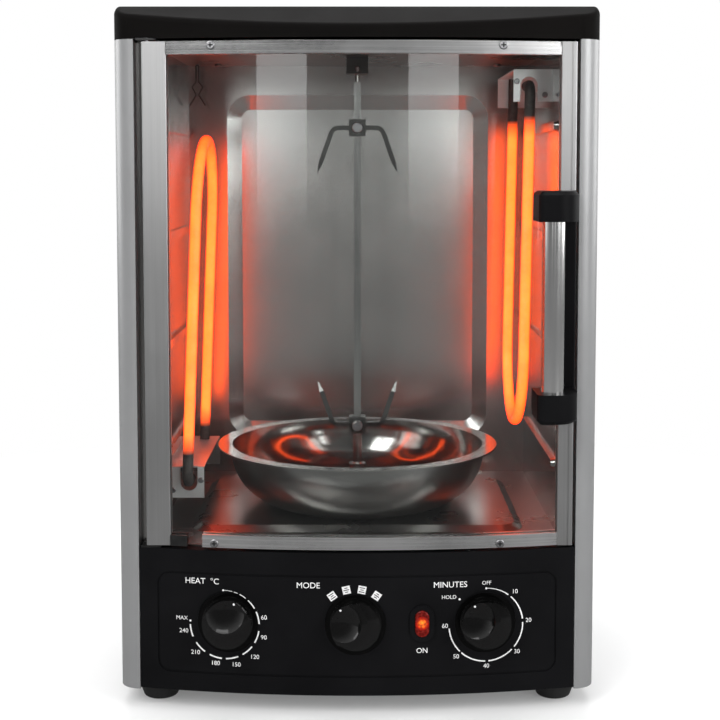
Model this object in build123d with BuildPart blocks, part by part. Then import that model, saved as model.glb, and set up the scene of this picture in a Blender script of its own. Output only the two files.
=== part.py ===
from build123d import *
import math
import os

os.makedirs("parts", exist_ok=True)

# Upright tabletop grill with a turning spit, in millimetres.
# The front faces -Y, +Z is up and the origin is under the middle of the whole grill.

# Cabinet
body_width = 340.0
body_depth = 263.0
bow_rise = 17.0
corner_radius = 15.0
sheet = 1.0
foot_height = 14.0
base_sheet = 1.2
panel_height = 102.0
cover_height = 24.0
cover_gap = 0.9
gland_reach = 7.0
front_flange_depth = 13.0
rear_flange_width = 12.0

# Screws that hold the case together, all of one kind
case_screw_diameter = 3.0
case_screw_head = 6.0
case_screw_head_height = 2.0
case_screw_length = 6.0

# Cavity
cavity_height = 354.8
cavity_margin = 9.0
rear_space = 17.0
liner_sheet = 0.8
liner_flange = 11.0
plateau_height = 4.0
plateau_margin = 21.0
plateau_front = 36.0
plateau_rear_margin = 27.0
rib_count = 4
rib_first = 49.0
rib_last_margin = 56.8
rib_width = 8.0
rib_rise = 3.0
rib_front = 45.0
rib_rear_margin = 18.0
emboss_margin = 31.0
emboss_bottom = 30.0
emboss_top_margin = 23.0
emboss_depth = 5.0
emboss_radius = 22.0
emboss_slope = 68.0
press_slope = 58.0

# Door
door_gap = 1.1
door_bottom_gap = 2.0
door_left_gap = 6.0
door_right_gap = 2.7
left_stile_width = 17.2
right_stile_width = 10.9
stile_front = 2.7
stile_back = 9.0
rail_height = 9.0
rail_front = 0.8
rail_back = 9.5
bottom_rail_start = 40.0
glass_thickness = 4.0
glass_front = 3.2
glass_grip = 4.0
glass_clearance = 0.2
rail_grip = 3.4
clip_width = 12.0
hinge_side_inset = 3.0
hinge_inset = 3.0
pin_diameter = 4.0
pin_grip = 12.0
pin_clearance = 0.1
hinge_plate_sheet = 1.5
hinge_plate_width = 14.0
door_screw_margin = 54.5

# Handle
handle_reach = 42.0
handle_rise = 92.8
handle_height = 158.0
cap_height = 20.5
cap_width = 29.0
cap_side_inset = 1.3
cap_round = 17.0
cap_corner = 5.0
cap_bevel = 2.5
tube_diameter = 15.5
tube_side_inset = 18.9
tube_setback = 13.0
tube_grip = 6.0
back_plate_width = 14.3
back_plate_thickness = 4.0

# Controls
panel_gap = 0.5
panel_wall = 2.5
ledge_depth = 16.0
ledge_thickness = 2.0
knob_diameter = 36.0
knob_height = 18.0
knob_gap = 0.8
knob_rise = 52.3
temperature_margin = 63.5
function_x = -1.0
timer_margin = 64.0
temperature_rest = 19.0
function_rest = -42.0
timer_rest = -32.0
recess_diameter = 43.0
recess_depth = 1.0
shaft_diameter = 6.0
shaft_clearance = 0.2
switch_plate_inset = 4.0
lamp_shift = 0.95
lamp_drop = 0.5
lens_width = 10.0
lens_height = 19.0
bezel_wall = 2.0

# Spit and drive
spit_square = 5.5
spit_foot_diameter = 7.0
spit_foot_rise = 54.0
spit_shoulder_drop = 20.8
spit_pin_diameter = 3.2
spit_pin_drop = 8.8
fork_hub = 13.0
fork_clearance = 0.2
lower_fork_gap = 0.4
upper_fork_drop = 29.0
prong_reach = 19.0
prong_spread = 31.0
prong_rise = 34.0
prong_width = 5.5
prong_thickness = 3.6
prong_bend = 6.0
prong_tip = 8.0
thumb_head = 8.0
thumb_head_length = 4.0
thumb_shank = 4.0
coupling_diameter = 13.0
coupling_rise = 20.0
coupling_height = 10.0
drive_shaft_diameter = 7.0
motor_diameter = 50.0
motor_height = 22.0
motor_drop = 26.0
bracket_sheet = 1.2

# Bowl
bowl_side_gap = 18.7
bowl_front_gap = 13.2
bowl_rim_width = 10.0
bowl_height = 47.0
bowl_base_radius = 58.0
bowl_wall = 1.0
chimney_radius = 14.0
chimney_top_radius = 8.5
chimney_height = 18.0

# Heating elements
heater_diameter = 8.0
heater_wall_gap = 17.5
heater_front_reach = 51.0
heater_back_reach = 67.0
heater_apex_drop = 65.8
heater_elbow = 10.0
heater_elbow_rise = 28.0
heater_lean_left = 2.3
heater_lean_right = 0.9
heater_mid_shift = 1.1
shelf_rise = 40.0
heater_bracket_height = 24.0
heater_bracket_width = 29.0
heater_bracket_sheet = 1.0
heater_tail = 5.0

# Places worked out from the sizes above
front_y = (handle_reach - body_depth - gland_reach) / 2
rear_y = front_y + body_depth
half_width = body_width / 2
opening_half = half_width - corner_radius
base_top = foot_height + base_sheet
panel_top = base_top + panel_height
floor_z = panel_top + liner_sheet
ceiling_z = floor_z + cavity_height
ceiling_top = ceiling_z + liner_sheet
cover_bottom = ceiling_top + cover_gap
cover_top = cover_bottom + cover_height
cavity_half = opening_half - cavity_margin
cavity_depth = body_depth - rear_space
cavity_back = front_y + cavity_depth
plateau_top = floor_z + plateau_height
door_bottom = panel_top + door_bottom_gap
door_top = ceiling_top - door_gap
spit_depth = cavity_depth / 2
spit_y = front_y + spit_depth
hinge_y = front_y + hinge_inset
bow_radius = (opening_half**2 + bow_rise**2) / (2 * bow_rise)
bow_center_y = front_y - bow_rise + bow_radius
liner_front = front_y + front_flange_depth

# Places of the liner's pressings
plateau_half = cavity_half - plateau_margin
plateau_back = cavity_depth - plateau_rear_margin
rib_pitch = (cavity_height - rib_first - rib_last_margin) / (rib_count - 1)
rib_back = cavity_depth - rib_rear_margin
emboss_half = cavity_half - emboss_margin
emboss_top = cavity_height - emboss_top_margin

# Places of the door and its handle
door_left = opening_half - door_left_gap
door_right = opening_half - door_right_gap
bottom_rail_left = door_left - bottom_rail_start
hinge_x = hinge_side_inset - door_left
screw_reach = opening_half - door_screw_margin
handle_bottom = door_bottom + handle_rise
cap_right = door_right - cap_side_inset
cap_left = cap_right - cap_width
tube_x = door_right - tube_side_inset
back_plate_left = door_right - back_plate_width

# Places of the controls
panel_half = opening_half - panel_gap
knob_z = base_top + knob_rise
temperature_x = temperature_margin - panel_half
timer_x = panel_half - timer_margin
lamp_x = (function_x + timer_x) / 2 + lamp_shift
lamp_z = knob_z - lamp_drop

# Places of the spit, its drive, the bowl and the heating elements
coupling_bottom = plateau_top + coupling_rise
coupling_top = coupling_bottom + coupling_height
spit_foot_top = plateau_top + spit_foot_rise
spit_shoulder = ceiling_z - spit_shoulder_drop
spit_pin_top = ceiling_z - spit_pin_drop
lower_fork_bottom = spit_foot_top + lower_fork_gap
upper_fork_top = spit_shoulder - upper_fork_drop
heater_x = cavity_half - heater_wall_gap
heater_front = spit_depth - heater_front_reach
heater_back = spit_depth + heater_back_reach
heater_apex = ceiling_z - heater_apex_drop
heater_elbow_z = floor_z + heater_elbow_rise
heater_mid = (floor_z + ceiling_z) / 2 + heater_mid_shift
shelf_z = floor_z + shelf_rise
bowl_rim_radius = min(heater_x - bowl_side_gap, spit_depth - bowl_front_gap)


def bow_y(x, offset=0.0):
    """Y of the bowed front at x, moved back by an offset along its radius."""
    return bow_center_y - math.sqrt((bow_radius - offset) ** 2 - x**2)


def bow_strip(z, x_left, x_right, outer, inner):
    """Plan strip between two arcs of the bowed front, at height z."""
    middle = (x_left + x_right) / 2
    with BuildSketch(Plane.XY.offset(z)) as strip:
        with BuildLine():
            front = ThreePointArc(*[(x, bow_y(x, outer)) for x in (x_left, middle, x_right)])
            back = ThreePointArc(*[(x, bow_y(x, inner)) for x in (x_left, middle, x_right)])
            Line(front @ 0, back @ 0)
            Line(front @ 1, back @ 1)
        make_face()
    return strip.sketch


def body_outline(z, inset):
    """Plan outline of the whole cabinet, drawn in by an inset, at height z."""
    side = half_width - inset
    nose = front_y + inset
    corner_y = front_y + corner_radius
    bend = (corner_radius - inset) * math.sqrt(0.5)
    with BuildSketch(Plane.XY.offset(z)) as outline:
        with BuildLine():
            ThreePointArc((-opening_half, nose), (0, nose - bow_rise), (opening_half, nose))
            ThreePointArc((opening_half, nose), (opening_half + bend, corner_y - bend), (side, corner_y))
            Line((side, corner_y), (side, rear_y - inset))
            Line((side, rear_y - inset), (-side, rear_y - inset))
            Line((-side, rear_y - inset), (-side, corner_y))
            ThreePointArc((-side, corner_y), (-opening_half - bend, corner_y - bend), (-opening_half, nose))
        make_face()
    return outline.sketch


deck_nose_half = opening_half - 2.0
deck_notch_y = front_y + front_flange_depth + 2.0
deck_side = half_width - sheet


def deck_outline(z, front_offset, back_y):
    """Plan of a plate that fills the cabinet behind its bowed front, at height z."""
    with BuildSketch(Plane.XY.offset(z)) as deck:
        with BuildLine():
            nose = ThreePointArc(
                (-deck_nose_half, bow_y(deck_nose_half, front_offset)),
                (0, bow_y(0, front_offset)),
                (deck_nose_half, bow_y(deck_nose_half, front_offset)),
            )
            Polyline(
                nose @ 1,
                (deck_nose_half, deck_notch_y),
                (deck_side, deck_notch_y),
                (deck_side, back_y),
                (-deck_side, back_y),
                (-deck_side, deck_notch_y),
                (-deck_nose_half, deck_notch_y),
                nose @ 0,
            )
        make_face()
    return deck.sketch


def facing_front(x, y, z, turn=0.0):
    """Plane that faces the user, its up direction turned clockwise by turn degrees."""
    angle = math.radians(turn)
    return Plane(origin=(x, y, z), x_dir=(math.cos(angle), 0, -math.sin(angle)), z_dir=(0, -1, 0))


def facing_back(x, y, z):
    """Plane that faces the wall behind the grill."""
    return Plane(origin=(x, y, z), x_dir=(-1, 0, 0), z_dir=(0, 1, 0))


def pan_screw(plane, head_diameter, head_height, shank_diameter, shank_length):
    """Cross-recess screw whose head stands on the plane and whose shank goes in behind it."""
    with BuildPart(plane) as screw:
        Cylinder(head_diameter / 2, head_height, align=(Align.CENTER, Align.CENTER, Align.MIN))
        fillet(screw.edges().group_by(Axis(plane.origin, plane.z_dir))[-1], head_height * 0.4)
        Cylinder(shank_diameter / 2, shank_length, align=(Align.CENTER, Align.CENTER, Align.MAX))
        with Locations((0, 0, head_height)):
            Box(head_diameter * 0.6, head_diameter * 0.16, head_height, mode=Mode.SUBTRACT)
            Box(head_diameter * 0.16, head_diameter * 0.6, head_height, mode=Mode.SUBTRACT)
    return screw.part


# Base plate with cooling slots, front feet under the corners
foot_diameter = 34.0
foot_sole_diameter = 24.0
foot_margin = 26.0
foot_front = 28.0
foot_rear_margin = 29.0
foot_x = half_width - foot_margin
foot_back = body_depth - foot_rear_margin
foot_places = [(x, front_y + y) for x in (-foot_x, foot_x) for y in (foot_front, foot_back)]
foot_screw_diameter = 4.0
foot_screw_head = 8.0
foot_recess_depth = 8.0
base_back = rear_y - 2 * sheet - 0.5
vent_length = 40.0
vent_width = 4.0
vent_pitch = 10.0
with BuildPart() as base_plate:
    extrude(deck_outline(foot_height, panel_wall + 0.5, base_back), amount=base_sheet)
    with Locations(*[(x, y, foot_height) for x, y in foot_places]):
        Cylinder(foot_screw_diameter / 2 + 0.2, 4 * base_sheet, mode=Mode.SUBTRACT)
    with BuildSketch(Plane.XY.offset(foot_height)):
        with Locations((0, spit_y)):
            with GridLocations(2 * vent_length, vent_pitch, 2, 8):
                SlotOverall(vent_length, vent_width)
    extrude(amount=base_sheet, mode=Mode.SUBTRACT)
base_plate.part.label = "base_plate"
export_step(base_plate.part, "parts/base_plate.step")

with BuildPart() as feet:
    with Locations(*[(x, y, 0) for x, y in foot_places]):
        Cone(
            foot_sole_diameter / 2,
            foot_diameter / 2,
            foot_height,
            align=(Align.CENTER, Align.CENTER, Align.MIN),
        )
    fillet(feet.edges().group_by(Axis.Z)[0], 2.5)
    with Locations(*[(x, y, 0) for x, y in foot_places]):
        Cylinder(
            foot_screw_head / 2 + 1.0,
            foot_recess_depth,
            align=(Align.CENTER, Align.CENTER, Align.MIN),
            mode=Mode.SUBTRACT,
        )
        Cylinder(
            foot_screw_diameter / 2 + 0.2,
            foot_height,
            align=(Align.CENTER, Align.CENTER, Align.MIN),
            mode=Mode.SUBTRACT,
        )
feet.part.label = "feet"
export_step(feet.part, "parts/feet.step")

foot_screw_length = foot_height - foot_recess_depth + base_sheet + 2.0
with BuildPart() as foot_screws:
    for x, y in foot_places:
        under = Plane(origin=(x, y, foot_recess_depth), x_dir=(1, 0, 0), z_dir=(0, 0, -1))
        add(pan_screw(under, foot_screw_head, 3.0, foot_screw_diameter, foot_screw_length))
foot_screws.part.label = "foot_screws"
export_step(foot_screws.part, "parts/foot_screws.step")


# Side panels, bent from one sheet round the front corner
def side_panel(side):
    """Sheet with a rounded front corner, a front return flange and a rear flange."""
    corner_y = front_y + corner_radius
    outer_bend = corner_radius * math.sqrt(0.5)
    inner_radius = corner_radius - sheet
    inner_bend = inner_radius * math.sqrt(0.5)
    inner_nose = corner_y - math.sqrt(inner_radius**2 - sheet**2)
    inner_side = half_width - sheet
    rear_edge = half_width - rear_flange_width
    with BuildPart() as panel:
        with BuildSketch(Plane.XY.offset(foot_height)):
            with BuildLine():
                ThreePointArc(
                    (side * opening_half, front_y),
                    (side * (opening_half + outer_bend), corner_y - outer_bend),
                    (side * half_width, corner_y),
                )
                Polyline(
                    (side * half_width, corner_y),
                    (side * half_width, rear_y - sheet),
                    (side * rear_edge, rear_y - sheet),
                    (side * rear_edge, rear_y - 2 * sheet),
                    (side * inner_side, rear_y - 2 * sheet),
                    (side * inner_side, corner_y),
                )
                ThreePointArc(
                    (side * inner_side, corner_y),
                    (side * (opening_half + inner_bend), corner_y - inner_bend),
                    (side * (opening_half + sheet), inner_nose),
                )
                Polyline(
                    (side * (opening_half + sheet), inner_nose),
                    (side * (opening_half + sheet), liner_front),
                    (side * opening_half, liner_front),
                    (side * opening_half, front_y),
                )
            make_face()
        extrude(amount=cover_bottom - foot_height)
        with Locations(*[facing_back(side * rear_screw_x, rear_y, z) for z in rear_screw_heights]):
            Cylinder(case_screw_diameter / 2 + 0.1, 6 * sheet, mode=Mode.SUBTRACT)
    return panel


rear_screw_inset = 6.0
rear_screw_rise = 24.8
rear_screw_drop = 19.5
rear_screw_x = half_width - rear_screw_inset
rear_screw_low = base_top + rear_screw_rise
rear_screw_high = cover_bottom - rear_screw_drop
rear_screw_heights = (rear_screw_low, (rear_screw_low + rear_screw_high) / 2, rear_screw_high)
side_panel_left = side_panel(-1)
side_panel_left.part.label = "side_panel_left"
export_step(side_panel_left.part, "parts/side_panel_left.step")
side_panel_right = side_panel(1)
side_panel_right.part.label = "side_panel_right"
export_step(side_panel_right.part, "parts/side_panel_right.step")

# Rear panel with vents and the cord outlet
gland_margin = 60.0
gland_rise = 29.8
gland_x = half_width - gland_margin
gland_z = base_top + gland_rise
lower_vent_rise = 59.8
upper_vent_drop = 72.8
gland_body_diameter = 14.0
gland_flange_diameter = 20.0
gland_bore = 7.5
gland_clearance = 0.2
with BuildPart() as rear_panel:
    with Locations((0, rear_y - sheet / 2, (foot_height + cover_bottom) / 2)):
        Box(body_width, sheet, cover_bottom - foot_height)
    with Locations(facing_back(gland_x, rear_y, gland_z)):
        Cylinder(gland_body_diameter / 2 + gland_clearance, 4 * sheet, mode=Mode.SUBTRACT)
    for side in (-1, 1):
        with Locations(*[facing_back(side * rear_screw_x, rear_y, z) for z in rear_screw_heights]):
            Cylinder(case_screw_diameter / 2 + 0.1, 4 * sheet, mode=Mode.SUBTRACT)
    with BuildSketch(Plane.XZ.offset(-rear_y)):
        with Locations((0, base_top + lower_vent_rise)):
            with GridLocations(1.2 * vent_length, vent_pitch, 4, 6):
                SlotOverall(vent_length, vent_width)
        with Locations((0, ceiling_z - upper_vent_drop)):
            with GridLocations(1.2 * vent_length, vent_pitch, 4, 4):
                SlotOverall(vent_length, vent_width)
    extrude(amount=sheet, mode=Mode.SUBTRACT)
rear_panel.part.label = "rear_panel"
export_step(rear_panel.part, "parts/rear_panel.step")

with BuildPart(facing_back(gland_x, rear_y, gland_z)) as cord_gland:
    Cylinder(gland_flange_diameter / 2, gland_reach, align=(Align.CENTER, Align.CENTER, Align.MIN))
    fillet(cord_gland.edges().group_by(Axis.Y)[-1], 2.0)
    Cylinder(gland_body_diameter / 2, 4 * sheet, align=(Align.CENTER, Align.CENTER, Align.MAX))
    with Locations((0, 0, -sheet)):
        Cylinder(gland_flange_diameter / 2, 3.0, align=(Align.CENTER, Align.CENTER, Align.MAX))
    Cylinder(gland_bore / 2, 4 * gland_reach, mode=Mode.SUBTRACT)
cord_gland.part.label = "cord_gland"
export_step(cord_gland.part, "parts/cord_gland.step")

terminal_length = 46.0
terminal_depth = 18.0
terminal_height = 17.0
terminal_inset = 24.0
with BuildPart() as terminal_block:
    with Locations((gland_x, rear_y - terminal_inset - terminal_depth / 2, base_top)):
        Box(terminal_length, terminal_depth, terminal_height, align=(Align.CENTER, Align.CENTER, Align.MIN))
    chamfer(terminal_block.edges().group_by(Axis.Z)[-1], 2.0)
    with Locations((gland_x, rear_y - terminal_inset - terminal_depth / 2, base_top + terminal_height)):
        with GridLocations(terminal_length / 4, terminal_depth / 2, 4, 2):
            Cylinder(2.2, 12.0, mode=Mode.SUBTRACT)
terminal_block.part.label = "terminal_block"
export_step(terminal_block.part, "parts/terminal_block.step")

# Cavity liner: deck, ceiling, back and two side walls
deck_offset = rail_back + 1.5
bush_body_diameter = 13.0
bush_clearance = 0.2
plateau_middle_y = front_y + (plateau_front + plateau_back) / 2
plateau_length = plateau_back - plateau_front
plateau_radius = 20.0
press_inset = liner_sheet * math.tan(math.radians(press_slope))
with BuildPart() as floor_pan:
    extrude(deck_outline(panel_top, deck_offset, cavity_back + 8.0), amount=liner_sheet)
    with BuildSketch(Plane.XY.offset(panel_top)):
        with Locations((0, plateau_middle_y)):
            RectangleRounded(2 * plateau_half, plateau_length, plateau_radius)
    extrude(amount=liner_sheet + plateau_height, taper=press_slope)
    with BuildSketch(Plane.XY.offset(panel_top)):
        with Locations((0, plateau_middle_y)):
            RectangleRounded(
                2 * (plateau_half - press_inset),
                plateau_length - 2 * press_inset,
                plateau_radius - press_inset,
            )
    extrude(amount=plateau_height, taper=press_slope, mode=Mode.SUBTRACT)
    with Locations((0, spit_y, plateau_top)):
        Cylinder(bush_body_diameter / 2 + bush_clearance, 10 * liner_sheet, mode=Mode.SUBTRACT)
floor_pan.part.label = "floor_pan"
export_step(floor_pan.part, "parts/floor_pan.step")

cover_boss_margin = 52.0
cover_boss_front = 62.0
cover_boss_rear_margin = 24.0
cover_boss_x = half_width - cover_boss_margin
cover_boss_rows = (front_y + cover_boss_front, cavity_back - cover_boss_rear_margin)
cover_boss_places = [(x, y) for x in (-cover_boss_x, cover_boss_x) for y in cover_boss_rows]
cover_boss_diameter = 9.0
with BuildPart() as ceiling_plate:
    extrude(deck_outline(ceiling_z, deck_offset, cavity_back + 8.0), amount=liner_sheet)
    with Locations(*[(x, y, ceiling_z) for x, y in cover_boss_places]):
        Cylinder(case_screw_diameter / 2 + 0.2, 6 * liner_sheet, mode=Mode.SUBTRACT)
ceiling_plate.part.label = "ceiling_plate"
export_step(ceiling_plate.part, "parts/ceiling_plate.step")

with BuildPart() as back_wall:
    with Locations((0, cavity_back, floor_z)):
        Box(
            2 * (cavity_half + liner_flange),
            liner_sheet,
            cavity_height,
            align=(Align.CENTER, Align.MIN, Align.MIN),
        )
    emboss_height = emboss_top - emboss_bottom
    emboss_inset = liner_sheet * math.tan(math.radians(emboss_slope))
    emboss_z = floor_z + (emboss_top + emboss_bottom) / 2
    with BuildSketch(facing_back(0, cavity_back, emboss_z)):
        RectangleRounded(2 * emboss_half, emboss_height, emboss_radius)
    extrude(amount=emboss_depth + liner_sheet, taper=emboss_slope)
    with BuildSketch(facing_back(0, cavity_back, emboss_z)):
        RectangleRounded(
            2 * (emboss_half - emboss_inset),
            emboss_height - 2 * emboss_inset,
            emboss_radius - emboss_inset,
        )
    extrude(amount=emboss_depth, taper=emboss_slope, mode=Mode.SUBTRACT)
back_wall.part.label = "back_wall"
export_step(back_wall.part, "parts/back_wall.step")


def side_wall(side):
    """Liner wall with a front flange and pressed ribs that run front to back."""
    wall_plane = Plane(origin=(side * cavity_half, 0, 0), x_dir=(0, 1, 0), z_dir=(-side, 0, 0))
    rib_middle = front_y + (rib_front + rib_back) / 2
    rib_length = rib_back - rib_front
    rib_places = [(rib_middle, -side * (floor_z + rib_first + rib_pitch * i)) for i in range(rib_count)]
    with BuildPart() as wall:
        with BuildSketch(Plane.XY.offset(floor_z)):
            with BuildLine():
                Polyline(
                    (side * cavity_half, liner_front),
                    (side * (cavity_half + liner_flange), liner_front),
                    (side * (cavity_half + liner_flange), liner_front + liner_sheet),
                    (side * (cavity_half + liner_sheet), liner_front + liner_sheet),
                    (side * (cavity_half + liner_sheet), cavity_back),
                    (side * cavity_half, cavity_back),
                    close=True,
                )
            make_face()
        extrude(amount=cavity_height)
        with BuildSketch(wall_plane):
            with Locations(*rib_places):
                SlotOverall(rib_length, rib_width)
        extrude(amount=rib_rise, taper=15)
        with BuildSketch(wall_plane.offset(-liner_sheet)):
            with Locations(*rib_places):
                SlotOverall(rib_length - 2 * liner_sheet, rib_width - 2 * liner_sheet)
        extrude(amount=rib_rise, taper=15, mode=Mode.SUBTRACT)
    return wall


side_wall_left = side_wall(-1)
side_wall_left.part.label = "side_wall_left"
export_step(side_wall_left.part, "parts/side_wall_left.step")
side_wall_right = side_wall(1)
side_wall_right.part.label = "side_wall_right"
export_step(side_wall_right.part, "parts/side_wall_right.step")

# Top cover: a bowed plastic shell with a sloped front
cover_wall = 2.5
slope_angle = 24.3
slope_length = 17.0
cover_rounding = 4.0
slope_drop = math.tan(math.radians(slope_angle))
slope_start = front_y + slope_length
slope_reach = slope_length + bow_rise + 5.0
hinge_notch_depth = 12.0
hinge_notch_height = ceiling_top + hinge_plate_sheet + 0.5 - cover_bottom


def slope_wedge(top):
    """Wedge above the cover's sloped front, for a flat top at the height given."""
    with BuildPart() as wedge:
        with BuildSketch(Plane.YZ):
            with BuildLine():
                Polyline(
                    (slope_start, top),
                    (slope_start - slope_reach, top - slope_reach * slope_drop),
                    (slope_start - slope_reach, top + cover_height),
                    (slope_start, top + cover_height),
                    close=True,
                )
            make_face()
        extrude(amount=body_width, both=True)
    return wedge.part


with BuildPart() as cover_hollow:
    extrude(body_outline(cover_bottom, cover_wall), amount=cover_height - cover_wall)
    add(slope_wedge(cover_top - cover_wall), mode=Mode.SUBTRACT)
with BuildPart() as top_cover:
    extrude(body_outline(cover_bottom, 0), amount=cover_height)
    add(slope_wedge(cover_top), mode=Mode.SUBTRACT)
    rim = top_cover.faces().filter_by(lambda face: face.normal_at().Z > 0.5).edges()
    fillet([edge for edge in rim if abs(edge.center().Y - slope_start) > 0.01], cover_rounding)
    add(cover_hollow.part, mode=Mode.SUBTRACT)
    with Locations(*[(x, y, ceiling_top) for x, y in cover_boss_places]):
        Cylinder(
            cover_boss_diameter / 2,
            cover_top - cover_wall - ceiling_top,
            align=(Align.CENTER, Align.CENTER, Align.MIN),
        )
        Cylinder(
            case_screw_diameter / 2,
            14.0,
            align=(Align.CENTER, Align.CENTER, Align.MIN),
            mode=Mode.SUBTRACT,
        )
    with Locations((hinge_x, hinge_y, cover_bottom)):
        Box(hinge_plate_width + 1.0, hinge_notch_depth, 2 * hinge_notch_height, mode=Mode.SUBTRACT)
top_cover.part.label = "top_cover"
export_step(top_cover.part, "parts/top_cover.step")

# Control panel with its bowed face, ledges and switch plate bosses
groove_margin = 13.0
groove_top_margin = 16.0
groove_half = panel_half - groove_margin
groove_bottom = 13.0
groove_top = panel_height - groove_top_margin
groove_radius = 9.0
groove_width = 1.4
groove_depth = 0.7
knob_places = (temperature_x, function_x, timer_x)
plate_y = front_y + switch_plate_inset
plate_sheet = 1.2
boss_diameter = 7.0
boss_inset = 14.0
boss_rows = (base_top + boss_inset, panel_top - boss_inset)
boss_outer = panel_half - boss_inset
boss_inner = (timer_x - temperature_x) / 4
boss_columns = (-boss_outer, -boss_inner, boss_inner, boss_outer)
bezel_width = lens_width + 2 * bezel_wall
bezel_height = lens_height + 2 * bezel_wall
lamp_clearance = 0.2
panel_shaft_hole = 10.0
with BuildPart() as face_marks:
    with BuildSketch(facing_front(0, front_y, base_top + (groove_bottom + groove_top) / 2)):
        RectangleRounded(2 * groove_half, groove_top - groove_bottom, groove_radius)
        RectangleRounded(
            2 * (groove_half - groove_width),
            groove_top - groove_bottom - 2 * groove_width,
            groove_radius - groove_width,
            mode=Mode.SUBTRACT,
        )
    extrude(amount=2 * bow_rise, both=True)
    face_skin = bow_strip(base_top, -panel_half, panel_half, -1.0, groove_depth)
    extrude(face_skin, panel_height, mode=Mode.INTERSECT)
with BuildPart() as knob_recesses:
    with Locations(*[facing_front(x, front_y, knob_z) for x in knob_places]):
        Cylinder(recess_diameter / 2, 4 * bow_rise)
    face_skin = bow_strip(base_top, -panel_half, panel_half, -1.0, recess_depth)
    extrude(face_skin, panel_height, mode=Mode.INTERSECT)
with BuildPart() as control_panel:
    extrude(bow_strip(base_top, -panel_half, panel_half, 0, panel_wall), amount=panel_height)
    extrude(bow_strip(base_top, -panel_half, panel_half, 0, ledge_depth), amount=ledge_thickness)
    extrude(
        bow_strip(panel_top - ledge_thickness, -panel_half, panel_half, 0, ledge_depth),
        amount=ledge_thickness,
    )
    for x in boss_columns:
        boss_length = plate_y - bow_y(x, panel_wall / 2)
        with Locations(*[facing_front(x, plate_y, z) for z in boss_rows]):
            Cylinder(boss_diameter / 2, boss_length, align=(Align.CENTER, Align.CENTER, Align.MIN))
            Cylinder(
                case_screw_diameter / 2,
                case_screw_length - plate_sheet + 0.3,
                align=(Align.CENTER, Align.CENTER, Align.MIN),
                mode=Mode.SUBTRACT,
            )
    add(face_marks.part, mode=Mode.SUBTRACT)
    add(knob_recesses.part, mode=Mode.SUBTRACT)
    with Locations(*[facing_front(x, front_y, knob_z) for x in knob_places]):
        Cylinder(panel_shaft_hole / 2, 4 * bow_rise, mode=Mode.SUBTRACT)
    with BuildSketch(facing_front(lamp_x, front_y, lamp_z)):
        SlotOverall(bezel_height + 2 * lamp_clearance, bezel_width + 2 * lamp_clearance, rotation=90)
    extrude(amount=2 * bow_rise, mode=Mode.SUBTRACT)
    with Locations((hinge_x, hinge_y, panel_top)):
        Cylinder(pin_diameter / 2 + 0.6, 4 * ledge_thickness, mode=Mode.SUBTRACT)
control_panel.part.label = "control_panel"
export_step(control_panel.part, "parts/control_panel.step")

unit_bush_diameter = 9.0
unit_bush_length = 5.0
plate_margin = 7.5
plate_half = panel_half - plate_margin
plate_bottom = base_top + plate_margin
plate_top = panel_top - plate_margin
with BuildPart() as switch_plate:
    with Locations((0, plate_y, plate_bottom)):
        Box(
            2 * plate_half,
            plate_sheet,
            plate_top - plate_bottom,
            align=(Align.CENTER, Align.MIN, Align.MIN),
        )
    with Locations(*[facing_front(x, plate_y, knob_z) for x in knob_places]):
        Cylinder(unit_bush_diameter / 2 + 0.2, 4 * plate_sheet, mode=Mode.SUBTRACT)
    with Locations(*[facing_front(x, plate_y, z) for x in boss_columns for z in boss_rows]):
        Cylinder(case_screw_diameter / 2 + 0.2, 4 * plate_sheet, mode=Mode.SUBTRACT)
switch_plate.part.label = "switch_plate"
export_step(switch_plate.part, "parts/switch_plate.step")

unit_front = plate_y + plate_sheet

# Control units behind the plate, each with a threaded bush round its shaft
shaft_seat_depth = 11.0
unit_corner = 3.0
tab_sheet = 1.0
tab_width = 6.0
tab_length = 8.0
thermostat_size = 34.0
thermostat_depth = 24.0
function_width = 28.0
function_height = 32.0
function_depth = 26.0
timer_width = 46.0
timer_height = 50.0
timer_depth = 32.0


def control_unit(x, width, height, depth):
    """Switch body behind the plate, with a bush and a bore for its shaft."""
    with BuildPart(facing_back(x, unit_front, knob_z)) as unit:
        Box(width, height, depth, align=(Align.CENTER, Align.CENTER, Align.MIN))
        chamfer(unit.edges().filter_by(Axis.Y), unit_corner)
        for side in (-1, 1):
            with Locations((side * width / 4, 0, depth)):
                Box(tab_sheet, tab_width, tab_length, align=(Align.CENTER, Align.CENTER, Align.MIN))
        Cylinder(
            unit_bush_diameter / 2,
            plate_sheet + unit_bush_length,
            align=(Align.CENTER, Align.CENTER, Align.MAX),
        )
        Cylinder(shaft_diameter / 2 + shaft_clearance, 2 * shaft_seat_depth, mode=Mode.SUBTRACT)
    return unit


thermostat = control_unit(temperature_x, thermostat_size, thermostat_size, thermostat_depth)
thermostat.part.label = "thermostat"
export_step(thermostat.part, "parts/thermostat.step")
function_switch = control_unit(function_x, function_width, function_height, function_depth)
function_switch.part.label = "function_switch"
export_step(function_switch.part, "parts/function_switch.step")
timer_unit = control_unit(timer_x, timer_width, timer_height, timer_depth)
timer_unit.part.label = "timer_unit"
export_step(timer_unit.part, "parts/timer_unit.step")

# Knobs and their shafts
knob_radius = knob_diameter / 2
knob_bore_depth = 10.0
knob_flange = 2.5
knob_rim = 9.0
disc_height = 13.0
grip_drop = 5.0
dome_rim_radius = knob_radius - 0.8
disc_rise = disc_height - knob_rim
disc_dome = (dome_rim_radius**2 + disc_rise**2) / (2 * disc_rise)
grip_dome = (dome_rim_radius**2 + grip_drop**2) / (2 * grip_drop)
grip_radius = 16.3
grip_offset = 9.0
scoop_radius = 20.0
scoop_offset = 14.0
scoop_floor = 8.0
scoop_turn = 22.0
bore_fit = 0.05


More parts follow.
